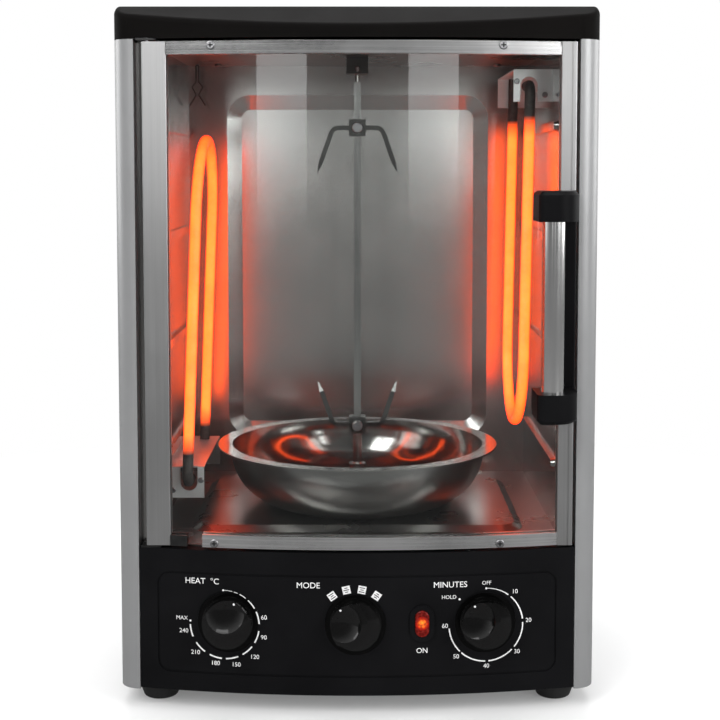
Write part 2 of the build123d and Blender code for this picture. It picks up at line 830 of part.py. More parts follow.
def knob_back(x):
    """Y of a knob's back, just ahead of the panel where it bulges most behind the knob."""
    nearest = max(abs(x) - knob_radius, 0.0)
    return bow_y(nearest, recess_depth) - knob_gap


def knob(x, rest):
    """Disc with a crescent grip beside a finger scoop, turned so that its dot points at the rest angle."""
    turn = math.radians(scoop_turn)
    toward_x = -math.sin(turn)
    toward_y = math.cos(turn)
    stand = (Align.CENTER, Align.CENTER, Align.MIN)
    with BuildPart() as disc:
        Cylinder(dome_rim_radius, disc_height, align=stand)
        with Locations((0, 0, disc_height - disc_dome)):
            Sphere(disc_dome, mode=Mode.INTERSECT)
    with BuildPart() as blank:
        Cylinder(dome_rim_radius, knob_height, align=stand)
        with Locations((0, 0, knob_height - grip_dome)):
            Sphere(grip_dome, mode=Mode.INTERSECT)
        with Locations((grip_offset * toward_x, grip_offset * toward_y, 0)):
            Cylinder(grip_radius, knob_height, align=stand, mode=Mode.INTERSECT)
        add(disc.part)
        with Locations((scoop_offset * toward_x, scoop_offset * toward_y, scoop_floor + scoop_radius)):
            Sphere(scoop_radius, mode=Mode.SUBTRACT)
        Cylinder(knob_radius, knob_flange, align=stand)
        Cylinder(shaft_diameter / 2 + bore_fit, knob_bore_depth, align=stand, mode=Mode.SUBTRACT)
    with BuildPart() as body:
        with Locations(facing_front(x, knob_back(x), knob_z, rest)):
            add(blank.part)
    return body


def knob_shaft(x):
    """Round shaft from inside its control unit to the bottom of its knob's bore."""
    back = unit_front + shaft_seat_depth - 0.5
    with BuildPart(facing_front(x, back, knob_z)) as shaft:
        Cylinder(
            shaft_diameter / 2,
            back - knob_back(x) + knob_bore_depth,
            align=(Align.CENTER, Align.CENTER, Align.MIN),
        )
    return shaft


temperature_knob = knob(temperature_x, temperature_rest)
temperature_knob.part.label = "temperature_knob"
export_step(temperature_knob.part, "parts/temperature_knob.step")
function_knob = knob(function_x, function_rest)
function_knob.part.label = "function_knob"
export_step(function_knob.part, "parts/function_knob.step")
timer_knob = knob(timer_x, timer_rest)
timer_knob.part.label = "timer_knob"
export_step(timer_knob.part, "parts/timer_knob.step")
temperature_shaft = knob_shaft(temperature_x)
temperature_shaft.part.label = "temperature_shaft"
export_step(temperature_shaft.part, "parts/temperature_shaft.step")
function_shaft = knob_shaft(function_x)
function_shaft.part.label = "function_shaft"
export_step(function_shaft.part, "parts/function_shaft.step")
timer_shaft = knob_shaft(timer_x)
timer_shaft.part.label = "timer_shaft"
export_step(timer_shaft.part, "parts/timer_shaft.step")

# Indicator lamp: a black housing that reaches the switch plate, and its lens
bezel_lip = 1.6
bezel_thickness = 1.2
bezel_back = bow_y(lamp_x - bezel_width / 2 - bezel_lip)
lens_proud = 1.0
lens_depth = 8.0
with BuildPart() as lamp_housing:
    with BuildSketch(facing_front(lamp_x, plate_y, lamp_z)):
        SlotOverall(bezel_height, bezel_width, rotation=90)
    extrude(amount=plate_y - bezel_back)
    with BuildSketch(facing_front(lamp_x, bezel_back, lamp_z)):
        SlotOverall(bezel_height + 2 * bezel_lip, bezel_width + 2 * bezel_lip, rotation=90)
    extrude(amount=bezel_thickness)
    with BuildSketch(facing_front(lamp_x, bezel_back - bezel_thickness, lamp_z)):
        SlotOverall(lens_height, lens_width, rotation=90)
    extrude(amount=-lens_depth, mode=Mode.SUBTRACT)
lamp_housing.part.label = "lamp_housing"
export_step(lamp_housing.part, "parts/lamp_housing.step")

with BuildPart() as lamp_lens:
    with BuildSketch(facing_front(lamp_x, bezel_back - bezel_thickness + lens_depth, lamp_z)):
        SlotOverall(lens_height - 0.2, lens_width - 0.2, rotation=90)
    extrude(amount=lens_depth + lens_proud)
    fillet(lamp_lens.edges().group_by(Axis.Y)[0], 0.8)
lamp_lens.part.label = "lamp_lens"
export_step(lamp_lens.part, "parts/lamp_lens.step")

# Door frame and glass
left_stile_right = -door_left + left_stile_width
right_stile_left = door_right - right_stile_width
door_height = door_top - door_bottom
glass_left = left_stile_right - glass_grip
glass_right = right_stile_left + glass_grip
glass_bottom = door_bottom + rail_height - rail_grip
glass_top = door_top - rail_height + rail_grip
handle_screw_inset = 2.8
handle_screw_x = door_right - handle_screw_inset
handle_screw_diameter = 3.0
handle_screw_heights = (
    handle_bottom + cap_height / 2,
    handle_bottom + handle_height - cap_height / 2,
)
catch_rise = 170.8
catch_bottom = door_bottom + catch_rise
catch_height = 30.0
strike_thickness = 0.6


def glass_slot(z, x_left, x_right):
    """Plan of the groove that holds the glass, at height z."""
    return bow_strip(
        z,
        x_left,
        x_right,
        glass_front - glass_clearance,
        glass_front + glass_thickness + glass_clearance,
    )


with BuildPart() as door_stile_left:
    with Locations((-door_left, front_y - stile_front, door_bottom)):
        Box(
            left_stile_width,
            stile_front + stile_back,
            door_height,
            align=(Align.MIN, Align.MIN, Align.MIN),
        )
    fillet(door_stile_left.edges().filter_by(Axis.Z), 0.8)
    extrude(
        glass_slot(door_bottom, glass_left - glass_clearance, left_stile_right + 2.0),
        amount=door_height,
        mode=Mode.SUBTRACT,
    )
    with Locations((hinge_x, hinge_y, door_bottom), (hinge_x, hinge_y, door_top)):
        Cylinder(pin_diameter / 2, 2 * pin_grip, mode=Mode.SUBTRACT)
door_stile_left.part.label = "door_stile_left"
export_step(door_stile_left.part, "parts/door_stile_left.step")

stile_groove_inset = 3.4
stile_groove_x = door_right - stile_groove_inset
stile_groove_width = 0.9
with BuildPart() as door_stile_right:
    with Locations((door_right, front_y - stile_front, door_bottom)):
        Box(
            right_stile_width,
            stile_front + stile_back,
            door_height,
            align=(Align.MAX, Align.MIN, Align.MIN),
        )
    fillet(door_stile_right.edges().filter_by(Axis.Z), 0.8)
    extrude(
        glass_slot(door_bottom, right_stile_left - 2.0, glass_right + glass_clearance),
        amount=door_height,
        mode=Mode.SUBTRACT,
    )
    with Locations((stile_groove_x, front_y - stile_front, door_bottom)):
        Box(
            stile_groove_width,
            2 * stile_groove_width,
            door_height,
            align=(Align.CENTER, Align.CENTER, Align.MIN),
            mode=Mode.SUBTRACT,
        )
    with Locations(*[facing_front(handle_screw_x, front_y, z) for z in handle_screw_heights]):
        Cylinder(handle_screw_diameter / 2 + 0.2, 4 * stile_back, mode=Mode.SUBTRACT)
door_stile_right.part.label = "door_stile_right"
export_step(door_stile_right.part, "parts/door_stile_right.step")

door_screw_diameter = 2.5
door_screw_head = 6.0
door_screw_length = 5.0
door_screw_inset = 2.9
rail_step_height = 3.0
rail_step = 0.8


def door_rail(bottom, x_left, step_bottom, slot_bottom, screw_z):
    """Bowed rail with a groove for the glass and two screw holes."""
    with BuildPart() as rail:
        extrude(bow_strip(bottom, x_left, right_stile_left, rail_front, rail_back), amount=rail_height)
        extrude(glass_slot(slot_bottom, glass_left, glass_right), amount=rail_height, mode=Mode.SUBTRACT)
        extrude(
            bow_strip(step_bottom, x_left - 1.0, right_stile_left + 1.0, 0, rail_front + rail_step),
            amount=rail_step_height,
            mode=Mode.SUBTRACT,
        )
        with Locations(*[facing_front(x, screw_seat(x), screw_z) for x in (-screw_reach, screw_reach)]):
            Cylinder(door_screw_diameter / 2, 2 * door_screw_length + 1.0, mode=Mode.SUBTRACT)
            Cylinder(
                door_screw_head / 2 + 0.2,
                4.0,
                align=(Align.CENTER, Align.CENTER, Align.MIN),
                mode=Mode.SUBTRACT,
            )
    return rail


def screw_seat(x):
    """Y of the flat seat under a screw head on the bowed rail."""
    return bow_y(abs(x) + door_screw_head / 2, rail_front) + 0.2


top_screw_z = door_top - door_screw_inset
bottom_screw_z = door_bottom + door_screw_inset
door_rail_top = door_rail(
    door_top - rail_height,
    left_stile_right,
    door_top - rail_step_height,
    glass_top + glass_clearance - rail_height,
    top_screw_z,
)
door_rail_top.part.label = "door_rail_top"
export_step(door_rail_top.part, "parts/door_rail_top.step")
door_rail_bottom = door_rail(
    door_bottom,
    -bottom_rail_left,
    door_bottom - rail_step_height,
    glass_bottom - glass_clearance,
    bottom_screw_z,
)
door_rail_bottom.part.label = "door_rail_bottom"
export_step(door_rail_bottom.part, "parts/door_rail_bottom.step")

with BuildPart() as glass_clip:
    extrude(
        bow_strip(door_bottom, left_stile_right, left_stile_right + clip_width, rail_front, rail_back),
        amount=rail_height - rail_grip + 2.0,
    )
    extrude(
        glass_slot(glass_bottom - glass_clearance, glass_left, glass_right),
        amount=rail_height,
        mode=Mode.SUBTRACT,
    )
glass_clip.part.label = "glass_clip"
export_step(glass_clip.part, "parts/glass_clip.step")

with BuildPart() as door_screws:
    for x in (-screw_reach, screw_reach):
        for z in (bottom_screw_z, top_screw_z):
            seat = facing_front(x, screw_seat(x), z)
            add(pan_screw(seat, door_screw_head, 1.8, door_screw_diameter, door_screw_length))
door_screws.part.label = "door_screws"
export_step(door_screws.part, "parts/door_screws.step")

with BuildPart() as door_glass:
    extrude(
        bow_strip(glass_bottom, glass_left, glass_right, glass_front, glass_front + glass_thickness),
        amount=glass_top - glass_bottom,
    )
door_glass.part.label = "door_glass"
export_step(door_glass.part, "parts/door_glass.step")

# Hinge pins in the door and the plates that they turn in
pin_reach = 4.5
with BuildPart() as hinge_pins:
    with Locations((hinge_x, hinge_y, door_bottom - pin_reach)):
        Cylinder(
            pin_diameter / 2,
            pin_reach + pin_grip,
            align=(Align.CENTER, Align.CENTER, Align.MIN),
        )
    with Locations((hinge_x, hinge_y, door_top + pin_reach)):
        Cylinder(
            pin_diameter / 2,
            pin_reach + pin_grip,
            align=(Align.CENTER, Align.CENTER, Align.MAX),
        )
hinge_pins.part.label = "hinge_pins"
export_step(hinge_pins.part, "parts/hinge_pins.step")

hinge_plate_lip = 4.5
hinge_plate_front = hinge_y - hinge_plate_lip
hinge_plate_overlap = 13.0
hinge_plate_back = bow_y(hinge_x, deck_offset) + hinge_plate_overlap
bottom_plate_back = bow_y(abs(hinge_x) - hinge_plate_width / 2, deck_offset) - 0.5
with BuildPart() as hinge_plates:
    with Locations((hinge_x, hinge_plate_front, ceiling_top)):
        Box(
            hinge_plate_width,
            hinge_plate_back - hinge_plate_front,
            hinge_plate_sheet,
            align=(Align.CENTER, Align.MIN, Align.MIN),
        )
    with Locations((hinge_x, hinge_plate_front, panel_top)):
        Box(
            hinge_plate_width,
            bottom_plate_back - hinge_plate_front,
            hinge_plate_sheet,
            align=(Align.CENTER, Align.MIN, Align.MIN),
        )
    with Locations((hinge_x, hinge_y, panel_top), (hinge_x, hinge_y, ceiling_top)):
        Cylinder(pin_diameter / 2 + pin_clearance, 4 * hinge_plate_sheet, mode=Mode.SUBTRACT)
hinge_plates.part.label = "hinge_plates"
export_step(hinge_plates.part, "parts/hinge_plates.step")

# Handle: back plate on the right stile, two caps and a steel tube between them
plate_front = front_y - stile_front - back_plate_thickness
handle_front = front_y - handle_reach
handle_top = handle_bottom + handle_height
tube_y = handle_front + tube_setback
tube_bore_clearance = 0.1
handle_screw_depth = 9.0
with BuildPart() as handle_back_plate:
    with Locations((back_plate_left, plate_front, handle_bottom)):
        Box(
            door_right - back_plate_left,
            back_plate_thickness,
            handle_height,
            align=(Align.MIN, Align.MIN, Align.MIN),
        )
    fillet(handle_back_plate.edges().filter_by(Axis.Z).group_by(Axis.Y)[0], 1.5)
    with Locations(*[facing_front(handle_screw_x, plate_front, z) for z in handle_screw_heights]):
        Cylinder(handle_screw_diameter / 2 + 0.2, 4 * back_plate_thickness, mode=Mode.SUBTRACT)
handle_back_plate.part.label = "handle_back_plate"
export_step(handle_back_plate.part, "parts/handle_back_plate.step")


def handle_cap(bottom, bevel_index, bore_z, screw_z):
    """Plastic end of the handle, rounded at its outer corner, with a socket for the tube."""
    bend = cap_round * (1 - math.sqrt(0.5))
    with BuildPart() as cap:
        with BuildSketch(Plane.XY.offset(bottom)):
            with BuildLine():
                Polyline(
                    (cap_right, handle_front + cap_round),
                    (cap_right, plate_front),
                    (cap_left, plate_front),
                    (cap_left, handle_front),
                    (cap_right - cap_round, handle_front),
                )
                ThreePointArc(
                    (cap_right - cap_round, handle_front),
                    (cap_right - bend, handle_front + bend),
                    (cap_right, handle_front + cap_round),
                )
            make_face()
        extrude(amount=cap_height)
        fillet(cap.edges().filter_by(Axis.Z).group_by(Axis.Y)[0].sort_by(Axis.X)[0], cap_corner)
        chamfer(cap.faces().sort_by(Axis.Z)[bevel_index].edges().sort_by(Axis.Y)[:-1], cap_bevel)
        with Locations((tube_x, tube_y, bore_z)):
            Cylinder(tube_diameter / 2 + tube_bore_clearance, 2 * tube_grip, mode=Mode.SUBTRACT)
        with Locations(facing_front(handle_screw_x, plate_front, screw_z)):
            Cylinder(handle_screw_diameter / 2, 2 * handle_screw_depth, mode=Mode.SUBTRACT)
    return cap


handle_cap_bottom = handle_cap(handle_bottom, 0, handle_bottom + cap_height, handle_screw_heights[0])
handle_cap_bottom.part.label = "handle_cap_bottom"
export_step(handle_cap_bottom.part, "parts/handle_cap_bottom.step")
handle_cap_top = handle_cap(handle_top - cap_height, -1, handle_top - cap_height, handle_screw_heights[1])
handle_cap_top.part.label = "handle_cap_top"
export_step(handle_cap_top.part, "parts/handle_cap_top.step")

tube_wall = 1.0
with BuildPart() as handle_tube:
    with Locations((tube_x, tube_y, handle_bottom + cap_height - tube_grip)):
        Cylinder(
            tube_diameter / 2,
            handle_height - 2 * cap_height + 2 * tube_grip,
            align=(Align.CENTER, Align.CENTER, Align.MIN),
        )
        Cylinder(
            tube_diameter / 2 - tube_wall,
            handle_height - 2 * cap_height + 2 * tube_grip,
            align=(Align.CENTER, Align.CENTER, Align.MIN),
            mode=Mode.SUBTRACT,
        )
handle_tube.part.label = "handle_tube"
export_step(handle_tube.part, "parts/handle_tube.step")

handle_screw_length = stile_back + stile_front + back_plate_thickness + handle_screw_depth - 0.5
with BuildPart() as handle_screws:
    for z in handle_screw_heights:
        seat = facing_back(handle_screw_x, front_y + stile_back, z)
        add(pan_screw(seat, 5.4, 1.8, handle_screw_diameter, handle_screw_length))
handle_screws.part.label = "handle_screws"
export_step(handle_screws.part, "parts/handle_screws.step")

# Magnet catch on the liner flange and its strike plate on the door
catch_width = 7.0
catch_gap = 0.3
with BuildPart() as magnet_catch:
    with Locations((cavity_half, liner_front, catch_bottom)):
        Box(
            catch_width,
            front_flange_depth - stile_back - strike_thickness - catch_gap,
            catch_height,
            align=(Align.MIN, Align.MAX, Align.MIN),
        )
magnet_catch.part.label = "magnet_catch"
export_step(magnet_catch.part, "parts/magnet_catch.step")

with BuildPart() as strike_plate:
    with Locations((door_right - 0.8, front_y + stile_back, catch_bottom)):
        Box(
            right_stile_width - 2.0,
            strike_thickness,
            catch_height,
            align=(Align.MAX, Align.MIN, Align.MIN),
        )
strike_plate.part.label = "strike_plate"
export_step(strike_plate.part, "parts/strike_plate.step")


# Heating elements, each a bent tube held by a bracket on its wall
def heater_lean(side):
    """Angle between one bent tube and the wall beside it."""
    return math.radians(heater_lean_left if side < 0 else heater_lean_right)


def heater_plane(side):
    """Plane of one bent tube: across is +Y, up is from its terminals to its bend."""
    lean = heater_lean(side)
    flip = -side
    up = Vector(flip * math.sin(lean), 0, flip * math.cos(lean))
    across = Vector(0, 1, 0)
    return Plane(
        origin=(side * heater_x, front_y, terminal_level(side, shelf_z)),
        x_dir=across,
        z_dir=across.cross(up),
    )


def terminal_level(side, z):
    """Height on the left tube, or the same height counted from the top on the right tube."""
    return z if side < 0 else 2 * heater_mid - z


def heating_element(side):
    """Bent tube with an elbow at its front terminal."""
    bend_radius = (heater_back - heater_front) / 2
    bend_level = heater_apex - bend_radius - shelf_z
    elbow_level = heater_elbow_z - shelf_z
    tail_level = elbow_level if side < 0 else -heater_bracket_height - heater_tail
    elbow_bend = heater_elbow * (1 - math.sqrt(0.5))
    with BuildPart() as element:
        with BuildLine(heater_plane(side)) as route:
            Line((heater_front + 2.2 * heater_elbow, elbow_level), (heater_front + heater_elbow, elbow_level))
            ThreePointArc(
                (heater_front + heater_elbow, elbow_level),
                (heater_front + elbow_bend, elbow_level + elbow_bend),
                (heater_front, elbow_level + heater_elbow),
            )
            Line((heater_front, elbow_level + heater_elbow), (heater_front, bend_level))
            ThreePointArc(
                (heater_front, bend_level),
                (heater_front + bend_radius, bend_level + bend_radius),
                (heater_back, bend_level),
            )
            Line((heater_back, bend_level), (heater_back, tail_level))
        with BuildSketch(Plane(origin=route.wires()[0] @ 0, z_dir=route.wires()[0] % 0)):
            Circle(heater_diameter / 2)
        sweep(path=route.wires()[0])
    return element


def heater_bracket(side):
    """Sheet bracket: a shelf for the rear leg, a wall flange, a rear plate and a notched front plate."""
    wall_x = side * cavity_half
    shelf_step = 0.0 if side < 0 else heater_bracket_height
    shelf_level = terminal_level(side, shelf_z) + shelf_step
    shelf_front = front_y + heater_front + heater_elbow * 0.7
    shelf_back = front_y + heater_back + 12.0
    shelf_depth = shelf_back - shelf_front
    wall_align = Align.MIN if side < 0 else Align.MAX
    rear_leg_x = side * (heater_x + shelf_step * math.tan(heater_lean(side)))
    notch_level = terminal_level(side, heater_elbow_z)
    notch_radius = heater_diameter / 2 + 2.5
    notch_align = Align.MIN if side < 0 else Align.MAX
    with BuildPart() as bracket:
        with Locations((wall_x, shelf_front, shelf_level)):
            Box(
                heater_bracket_width,
                shelf_depth,
                heater_bracket_sheet,
                align=(wall_align, Align.MIN, Align.MAX),
            )
            Box(
                heater_bracket_width,
                heater_bracket_sheet,
                heater_bracket_height,
                align=(wall_align, Align.MIN, Align.MAX),
            )
            Box(
                heater_bracket_sheet,
                shelf_depth,
                heater_bracket_height / 2,
                align=(wall_align, Align.MIN, Align.MAX),
            )
        with Locations((wall_x, shelf_back, shelf_level)):
            Box(
                heater_bracket_width,
                heater_bracket_sheet,
                heater_bracket_height,
                align=(wall_align, Align.MAX, Align.MAX),
            )
        with Locations((rear_leg_x, front_y + heater_back, shelf_level)):
            Cylinder(heater_diameter / 2 + 0.4, 6 * heater_bracket_sheet, mode=Mode.SUBTRACT)
        with Locations(facing_front(side * heater_x, shelf_front, notch_level)):
            Cylinder(notch_radius, 4 * heater_bracket_sheet, mode=Mode.SUBTRACT)
        with Locations((side * heater_x, shelf_front, notch_level)):
            Box(
                2 * notch_radius,
                4 * heater_bracket_sheet,
                heater_bracket_height,
                align=(Align.CENTER, Align.CENTER, notch_align),
                mode=Mode.SUBTRACT,
            )
    return bracket


heater_left = heating_element(-1)
heater_left.part.label = "heater_left"
export_step(heater_left.part, "parts/heater_left.step")
heater_right = heating_element(1)
heater_right.part.label = "heater_right"
export_step(heater_right.part, "parts/heater_right.step")
heater_bracket_left = heater_bracket(-1)
heater_bracket_left.part.label = "heater_bracket_left"
export_step(heater_bracket_left.part, "parts/heater_bracket_left.step")
heater_bracket_right = heater_bracket(1)
heater_bracket_right.part.label = "heater_bracket_right"
export_step(heater_bracket_right.part, "parts/heater_bracket_right.step")

# Spring clip of bent wire under the ceiling
clip_wire = 1.4
clip_wall_gap = 10.0
clip_rear_gap = 21.0
clip_x = clip_wall_gap - cavity_half
clip_y = cavity_back - clip_rear_gap
clip_bend = 1.1
clip_stem = 14.0
clip_loop = 4.5
clip_loop_height = 11.0
clip_tail = 9.0
clip_tail_spread = 6.5
clip_top = ceiling_z - clip_wire / 2
clip_loop_top = clip_top - clip_stem
clip_neck = clip_loop_top - clip_loop_height
clip_half = [
    (clip_tail_spread, clip_neck - clip_tail),
    (clip_bend, clip_neck),
    (clip_loop, clip_loop_top - clip_loop_height * 0.4),
    (clip_bend, clip_loop_top),
    (clip_bend, clip_top),
]
clip_points = [(clip_x - x, z) for x, z in clip_half]
clip_points += [(clip_x + x, z) for x, z in reversed(clip_half)]
with BuildPart() as sensor_clip:
    with BuildLine(Plane.XZ.offset(-clip_y)) as wire:
        FilletPolyline(*clip_points, radius=0.9 * clip_bend)
    with BuildSketch(Plane(origin=wire.wires()[0] @ 0, z_dir=wire.wires()[0] % 0)):
        Circle(clip_wire / 2)
    sweep(path=wire.wires()[0])
sensor_clip.part.label = "sensor_clip"
export_step(sensor_clip.part, "parts/sensor_clip.step")

# Bracket under the ceiling that steadies the top of the spit
spit_bracket_width = 17.0
spit_bracket_sheet = 1.5
spit_bracket_drop = 14.8
spit_bracket_bottom = ceiling_z - spit_bracket_drop
spit_bracket_reach = 9.0
spit_pin_clearance = 0.3
with BuildPart() as spit_bracket:
    with Locations((0, spit_y + spit_bracket_reach, spit_bracket_bottom)):
        Box(
            spit_bracket_width,
            spit_bracket_sheet,
            ceiling_z - spit_bracket_bottom,
            align=(Align.CENTER, Align.MIN, Align.MIN),
        )
        Box(
            spit_bracket_width,
            2 * spit_bracket_reach,
            spit_bracket_sheet,
            align=(Align.CENTER, Align.MAX, Align.MIN),
        )
    with Locations((0, spit_y + spit_bracket_reach, ceiling_z)):
        Box(
            spit_bracket_width,
            2 * spit_bracket_reach,
            spit_bracket_sheet,
            align=(Align.CENTER, Align.MIN, Align.MAX),
        )
    with Locations((0, spit_y, spit_bracket_bottom)):
        Cylinder(
            spit_pin_diameter / 2 + spit_pin_clearance,
            4 * spit_bracket_sheet,
            mode=Mode.SUBTRACT,
        )
spit_bracket.part.label = "spit_bracket"
export_step(spit_bracket.part, "parts/spit_bracket.step")

# Spit rod and the drive shaft with its cup, which turn together
tongue_length = 4.7
socket_depth = 5.0
socket_clearance = 0.1
motor_bracket_top = plateau_top - liner_sheet
motor_top = motor_bracket_top - motor_drop - bracket_sheet
motor_seat_depth = 14.0
with BuildPart() as spit_rod:
    with Locations((0, spit_y, coupling_top - tongue_length)):
        Box(spit_square, spit_square, tongue_length, align=(Align.CENTER, Align.CENTER, Align.MIN))
    with Locations((0, spit_y, coupling_top)):
        Cylinder(
            spit_foot_diameter / 2,
            spit_foot_top - coupling_top,
            align=(Align.CENTER, Align.CENTER, Align.MIN),
        )
    with Locations((0, spit_y, spit_foot_top)):
        Box(
            spit_square,
            spit_square,
            spit_shoulder - spit_foot_top,
            align=(Align.CENTER, Align.CENTER, Align.MIN),
        )
    with Locations((0, spit_y, spit_shoulder)):
        Cylinder(
            spit_pin_diameter / 2,
            spit_pin_top - spit_shoulder,
            align=(Align.CENTER, Align.CENTER, Align.MIN),
        )
    fillet(spit_rod.edges().group_by(Axis.Z)[-1], 0.8)
spit_rod.part.label = "spit_rod"
export_step(spit_rod.part, "parts/spit_rod.step")

drive_shaft_bottom = motor_top - motor_seat_depth + 0.5
with BuildPart() as drive_shaft:
    with Locations((0, spit_y, drive_shaft_bottom)):
        Cylinder(
            drive_shaft_diameter / 2,
            coupling_bottom - drive_shaft_bottom,
            align=(Align.CENTER, Align.CENTER, Align.MIN),
        )
    with Locations((0, spit_y, coupling_bottom)):
        Cylinder(
            coupling_diameter / 2,
            coupling_top - coupling_bottom,
            align=(Align.CENTER, Align.CENTER, Align.MIN),
        )
    with Locations((0, spit_y, coupling_top)):
        Box(
            spit_square + 2 * socket_clearance,
            spit_square + 2 * socket_clearance,
            socket_depth,
            align=(Align.CENTER, Align.CENTER, Align.MAX),
            mode=Mode.SUBTRACT,
        )
drive_shaft.part.label = "drive_shaft"
export_step(drive_shaft.part, "parts/drive_shaft.step")

bush_flange_diameter = 22.0
bush_flange_height = 2.0
bush_length = 10.0
drive_clearance = 0.25
with BuildPart() as floor_bush:
    with Locations((0, spit_y, plateau_top)):
        Cylinder(
            bush_flange_diameter / 2,
            bush_flange_height,
            align=(Align.CENTER, Align.CENTER, Align.MIN),
        )
        Cylinder(
            bush_body_diameter / 2,
            bush_length,
            align=(Align.CENTER, Align.CENTER, Align.MAX),
        )
        Cylinder(drive_shaft_diameter / 2 + drive_clearance, 3 * bush_length, mode=Mode.SUBTRACT)
floor_bush.part.label = "floor_bush"
export_step(floor_bush.part, "parts/floor_bush.step")

motor_bracket_half = 30.0
motor_bracket_depth = 54.0
motor_bracket_foot = 12.0
motor_screw_x = 20.0
with BuildPart() as motor_bracket:
    with Locations((0, spit_y, motor_top)):
        Box(
            2 * motor_bracket_half,
            motor_bracket_depth,
            bracket_sheet,
            align=(Align.CENTER, Align.CENTER, Align.MIN),
        )
    for side, leg_align in ((-1, Align.MIN), (1, Align.MAX)):
        with Locations((side * motor_bracket_half, spit_y, motor_top)):
            Box(
                bracket_sheet,
                motor_bracket_depth,
                motor_bracket_top - motor_top,
                align=(leg_align, Align.CENTER, Align.MIN),
            )
        foot_align = Align.MAX if side < 0 else Align.MIN
        with Locations((side * (motor_bracket_half - bracket_sheet), spit_y, motor_bracket_top)):
            Box(
                motor_bracket_foot + bracket_sheet,
                motor_bracket_depth,
                bracket_sheet,
                align=(foot_align, Align.CENTER, Align.MAX),
            )
    with Locations((0, spit_y, motor_top)):
        Cylinder(drive_shaft_diameter, 4 * bracket_sheet, mode=Mode.SUBTRACT)
        with GridLocations(2 * motor_screw_x, 1, 2, 1):
            Cylinder(case_screw_diameter / 2 + 0.2, 4 * bracket_sheet, mode=Mode.SUBTRACT)
motor_bracket.part.label = "motor_bracket"
export_step(motor_bracket.part, "parts/motor_bracket.step")

with BuildPart() as drive_motor:
    with Locations((0, spit_y, motor_top)):
        Cylinder(
            motor_diameter / 2,
            motor_height,
            align=(Align.CENTER, Align.CENTER, Align.MAX),
        )
    fillet(drive_motor.edges().group_by(Axis.Z)[0], 2.0)
    with Locations((0, spit_y, motor_top)):
        Cylinder(
            drive_shaft_diameter / 2 + drive_clearance,
            motor_seat_depth,
            align=(Align.CENTER, Align.CENTER, Align.MAX),
            mode=Mode.SUBTRACT,
        )
        with GridLocations(2 * motor_screw_x, 1, 2, 1):
            Cylinder(
                case_screw_diameter / 2,
                8.0,
                align=(Align.CENTER, Align.CENTER, Align.MAX),
                mode=Mode.SUBTRACT,
            )
drive_motor.part.label = "drive_motor"
export_step(drive_motor.part, "parts/drive_motor.step")

# Case screws: rear panel, top cover, switch plate and motor
screw_seats = [
    *[facing_back(side * rear_screw_x, rear_y, z) for side in (-1, 1) for z in rear_screw_heights],
    *[Plane(origin=(x, y, ceiling_z), x_dir=(1, 0, 0), z_dir=(0, 0, -1)) for x, y in cover_boss_places],
    *[facing_back(x, unit_front, z) for x in boss_columns for z in boss_rows],
    *[Plane(origin=(side * motor_screw_x, spit_y, motor_top + bracket_sheet)) for side in (-1, 1)],
]
with BuildPart() as case_screws:
    for seat in screw_seats:
        add(
            pan_screw(
                seat,
                case_screw_head,
                case_screw_head_height,
                case_screw_diameter,
                case_screw_length,
            )
        )
case_screws.part.label = "case_screws"
export_step(case_screws.part, "parts/case_screws.step")


# Forks that slide on the spit and the screws that clamp them
thumb_clearance = 0.15
thumb_gap = 0.3
prong_point = 0.5
prong_run = math.hypot(prong_spread - prong_reach, prong_rise)
prong_taper = math.degrees(math.atan2((prong_thickness - prong_point) / 2, prong_tip))


def fork_prong(hub_z, away, bearing):
    """Bent bar from the clamp block outward, then along the spit, with a tapered tip."""
    angle = math.radians(bearing)
    along = (prong_run - prong_tip) / prong_run
    prong_plane = Plane(
        origin=(0, spit_y, hub_z),
        x_dir=(math.cos(angle), math.sin(angle), 0),
        z_dir=(math.sin(angle), -math.cos(angle), 0),
    )
    with BuildPart() as prong:
        with BuildLine(prong_plane) as route:
            FilletPolyline(
                (fork_hub / 2 - 1.0, 0),
                (prong_reach, 0),
                (prong_reach + along * (prong_spread - prong_reach), away * along * prong_rise),
                radius=prong_bend,
            )
        path = route.wires()[0]
        with BuildSketch(Plane(origin=path @ 0, x_dir=prong_plane.z_dir, z_dir=path % 0)):
            Rectangle(prong_width, prong_thickness)
        sweep(path=path)
        with BuildSketch(Plane(origin=path @ 1, x_dir=prong_plane.z_dir, z_dir=path % 1)):
            Rectangle(prong_width, prong_thickness)
        extrude(amount=prong_tip, taper=prong_taper)
    return prong.part


def spit_fork(hub_z, away):
    """Clamp block with three bent prongs; away is +1 for prongs that rise, -1 for prongs that hang."""
    with BuildPart() as fork:
        with Locations((0, spit_y, hub_z)):
            Box(fork_hub, fork_hub, fork_hub)
        for bearing in (0, 90, 180):
            add(fork_prong(hub_z, away, bearing))
        with Locations((0, spit_y, hub_z)):
            Box(
                spit_square + 2 * fork_clearance,
                spit_square + 2 * fork_clearance,
                2 * fork_hub,
                mode=Mode.SUBTRACT,
            )
        with Locations(facing_front(0, spit_y, hub_z)):
            Cylinder(
                thumb_shank / 2 + thumb_clearance,
                fork_hub,
                align=(Align.CENTER, Align.CENTER, Align.MIN),
                mode=Mode.SUBTRACT,
            )
    return fork


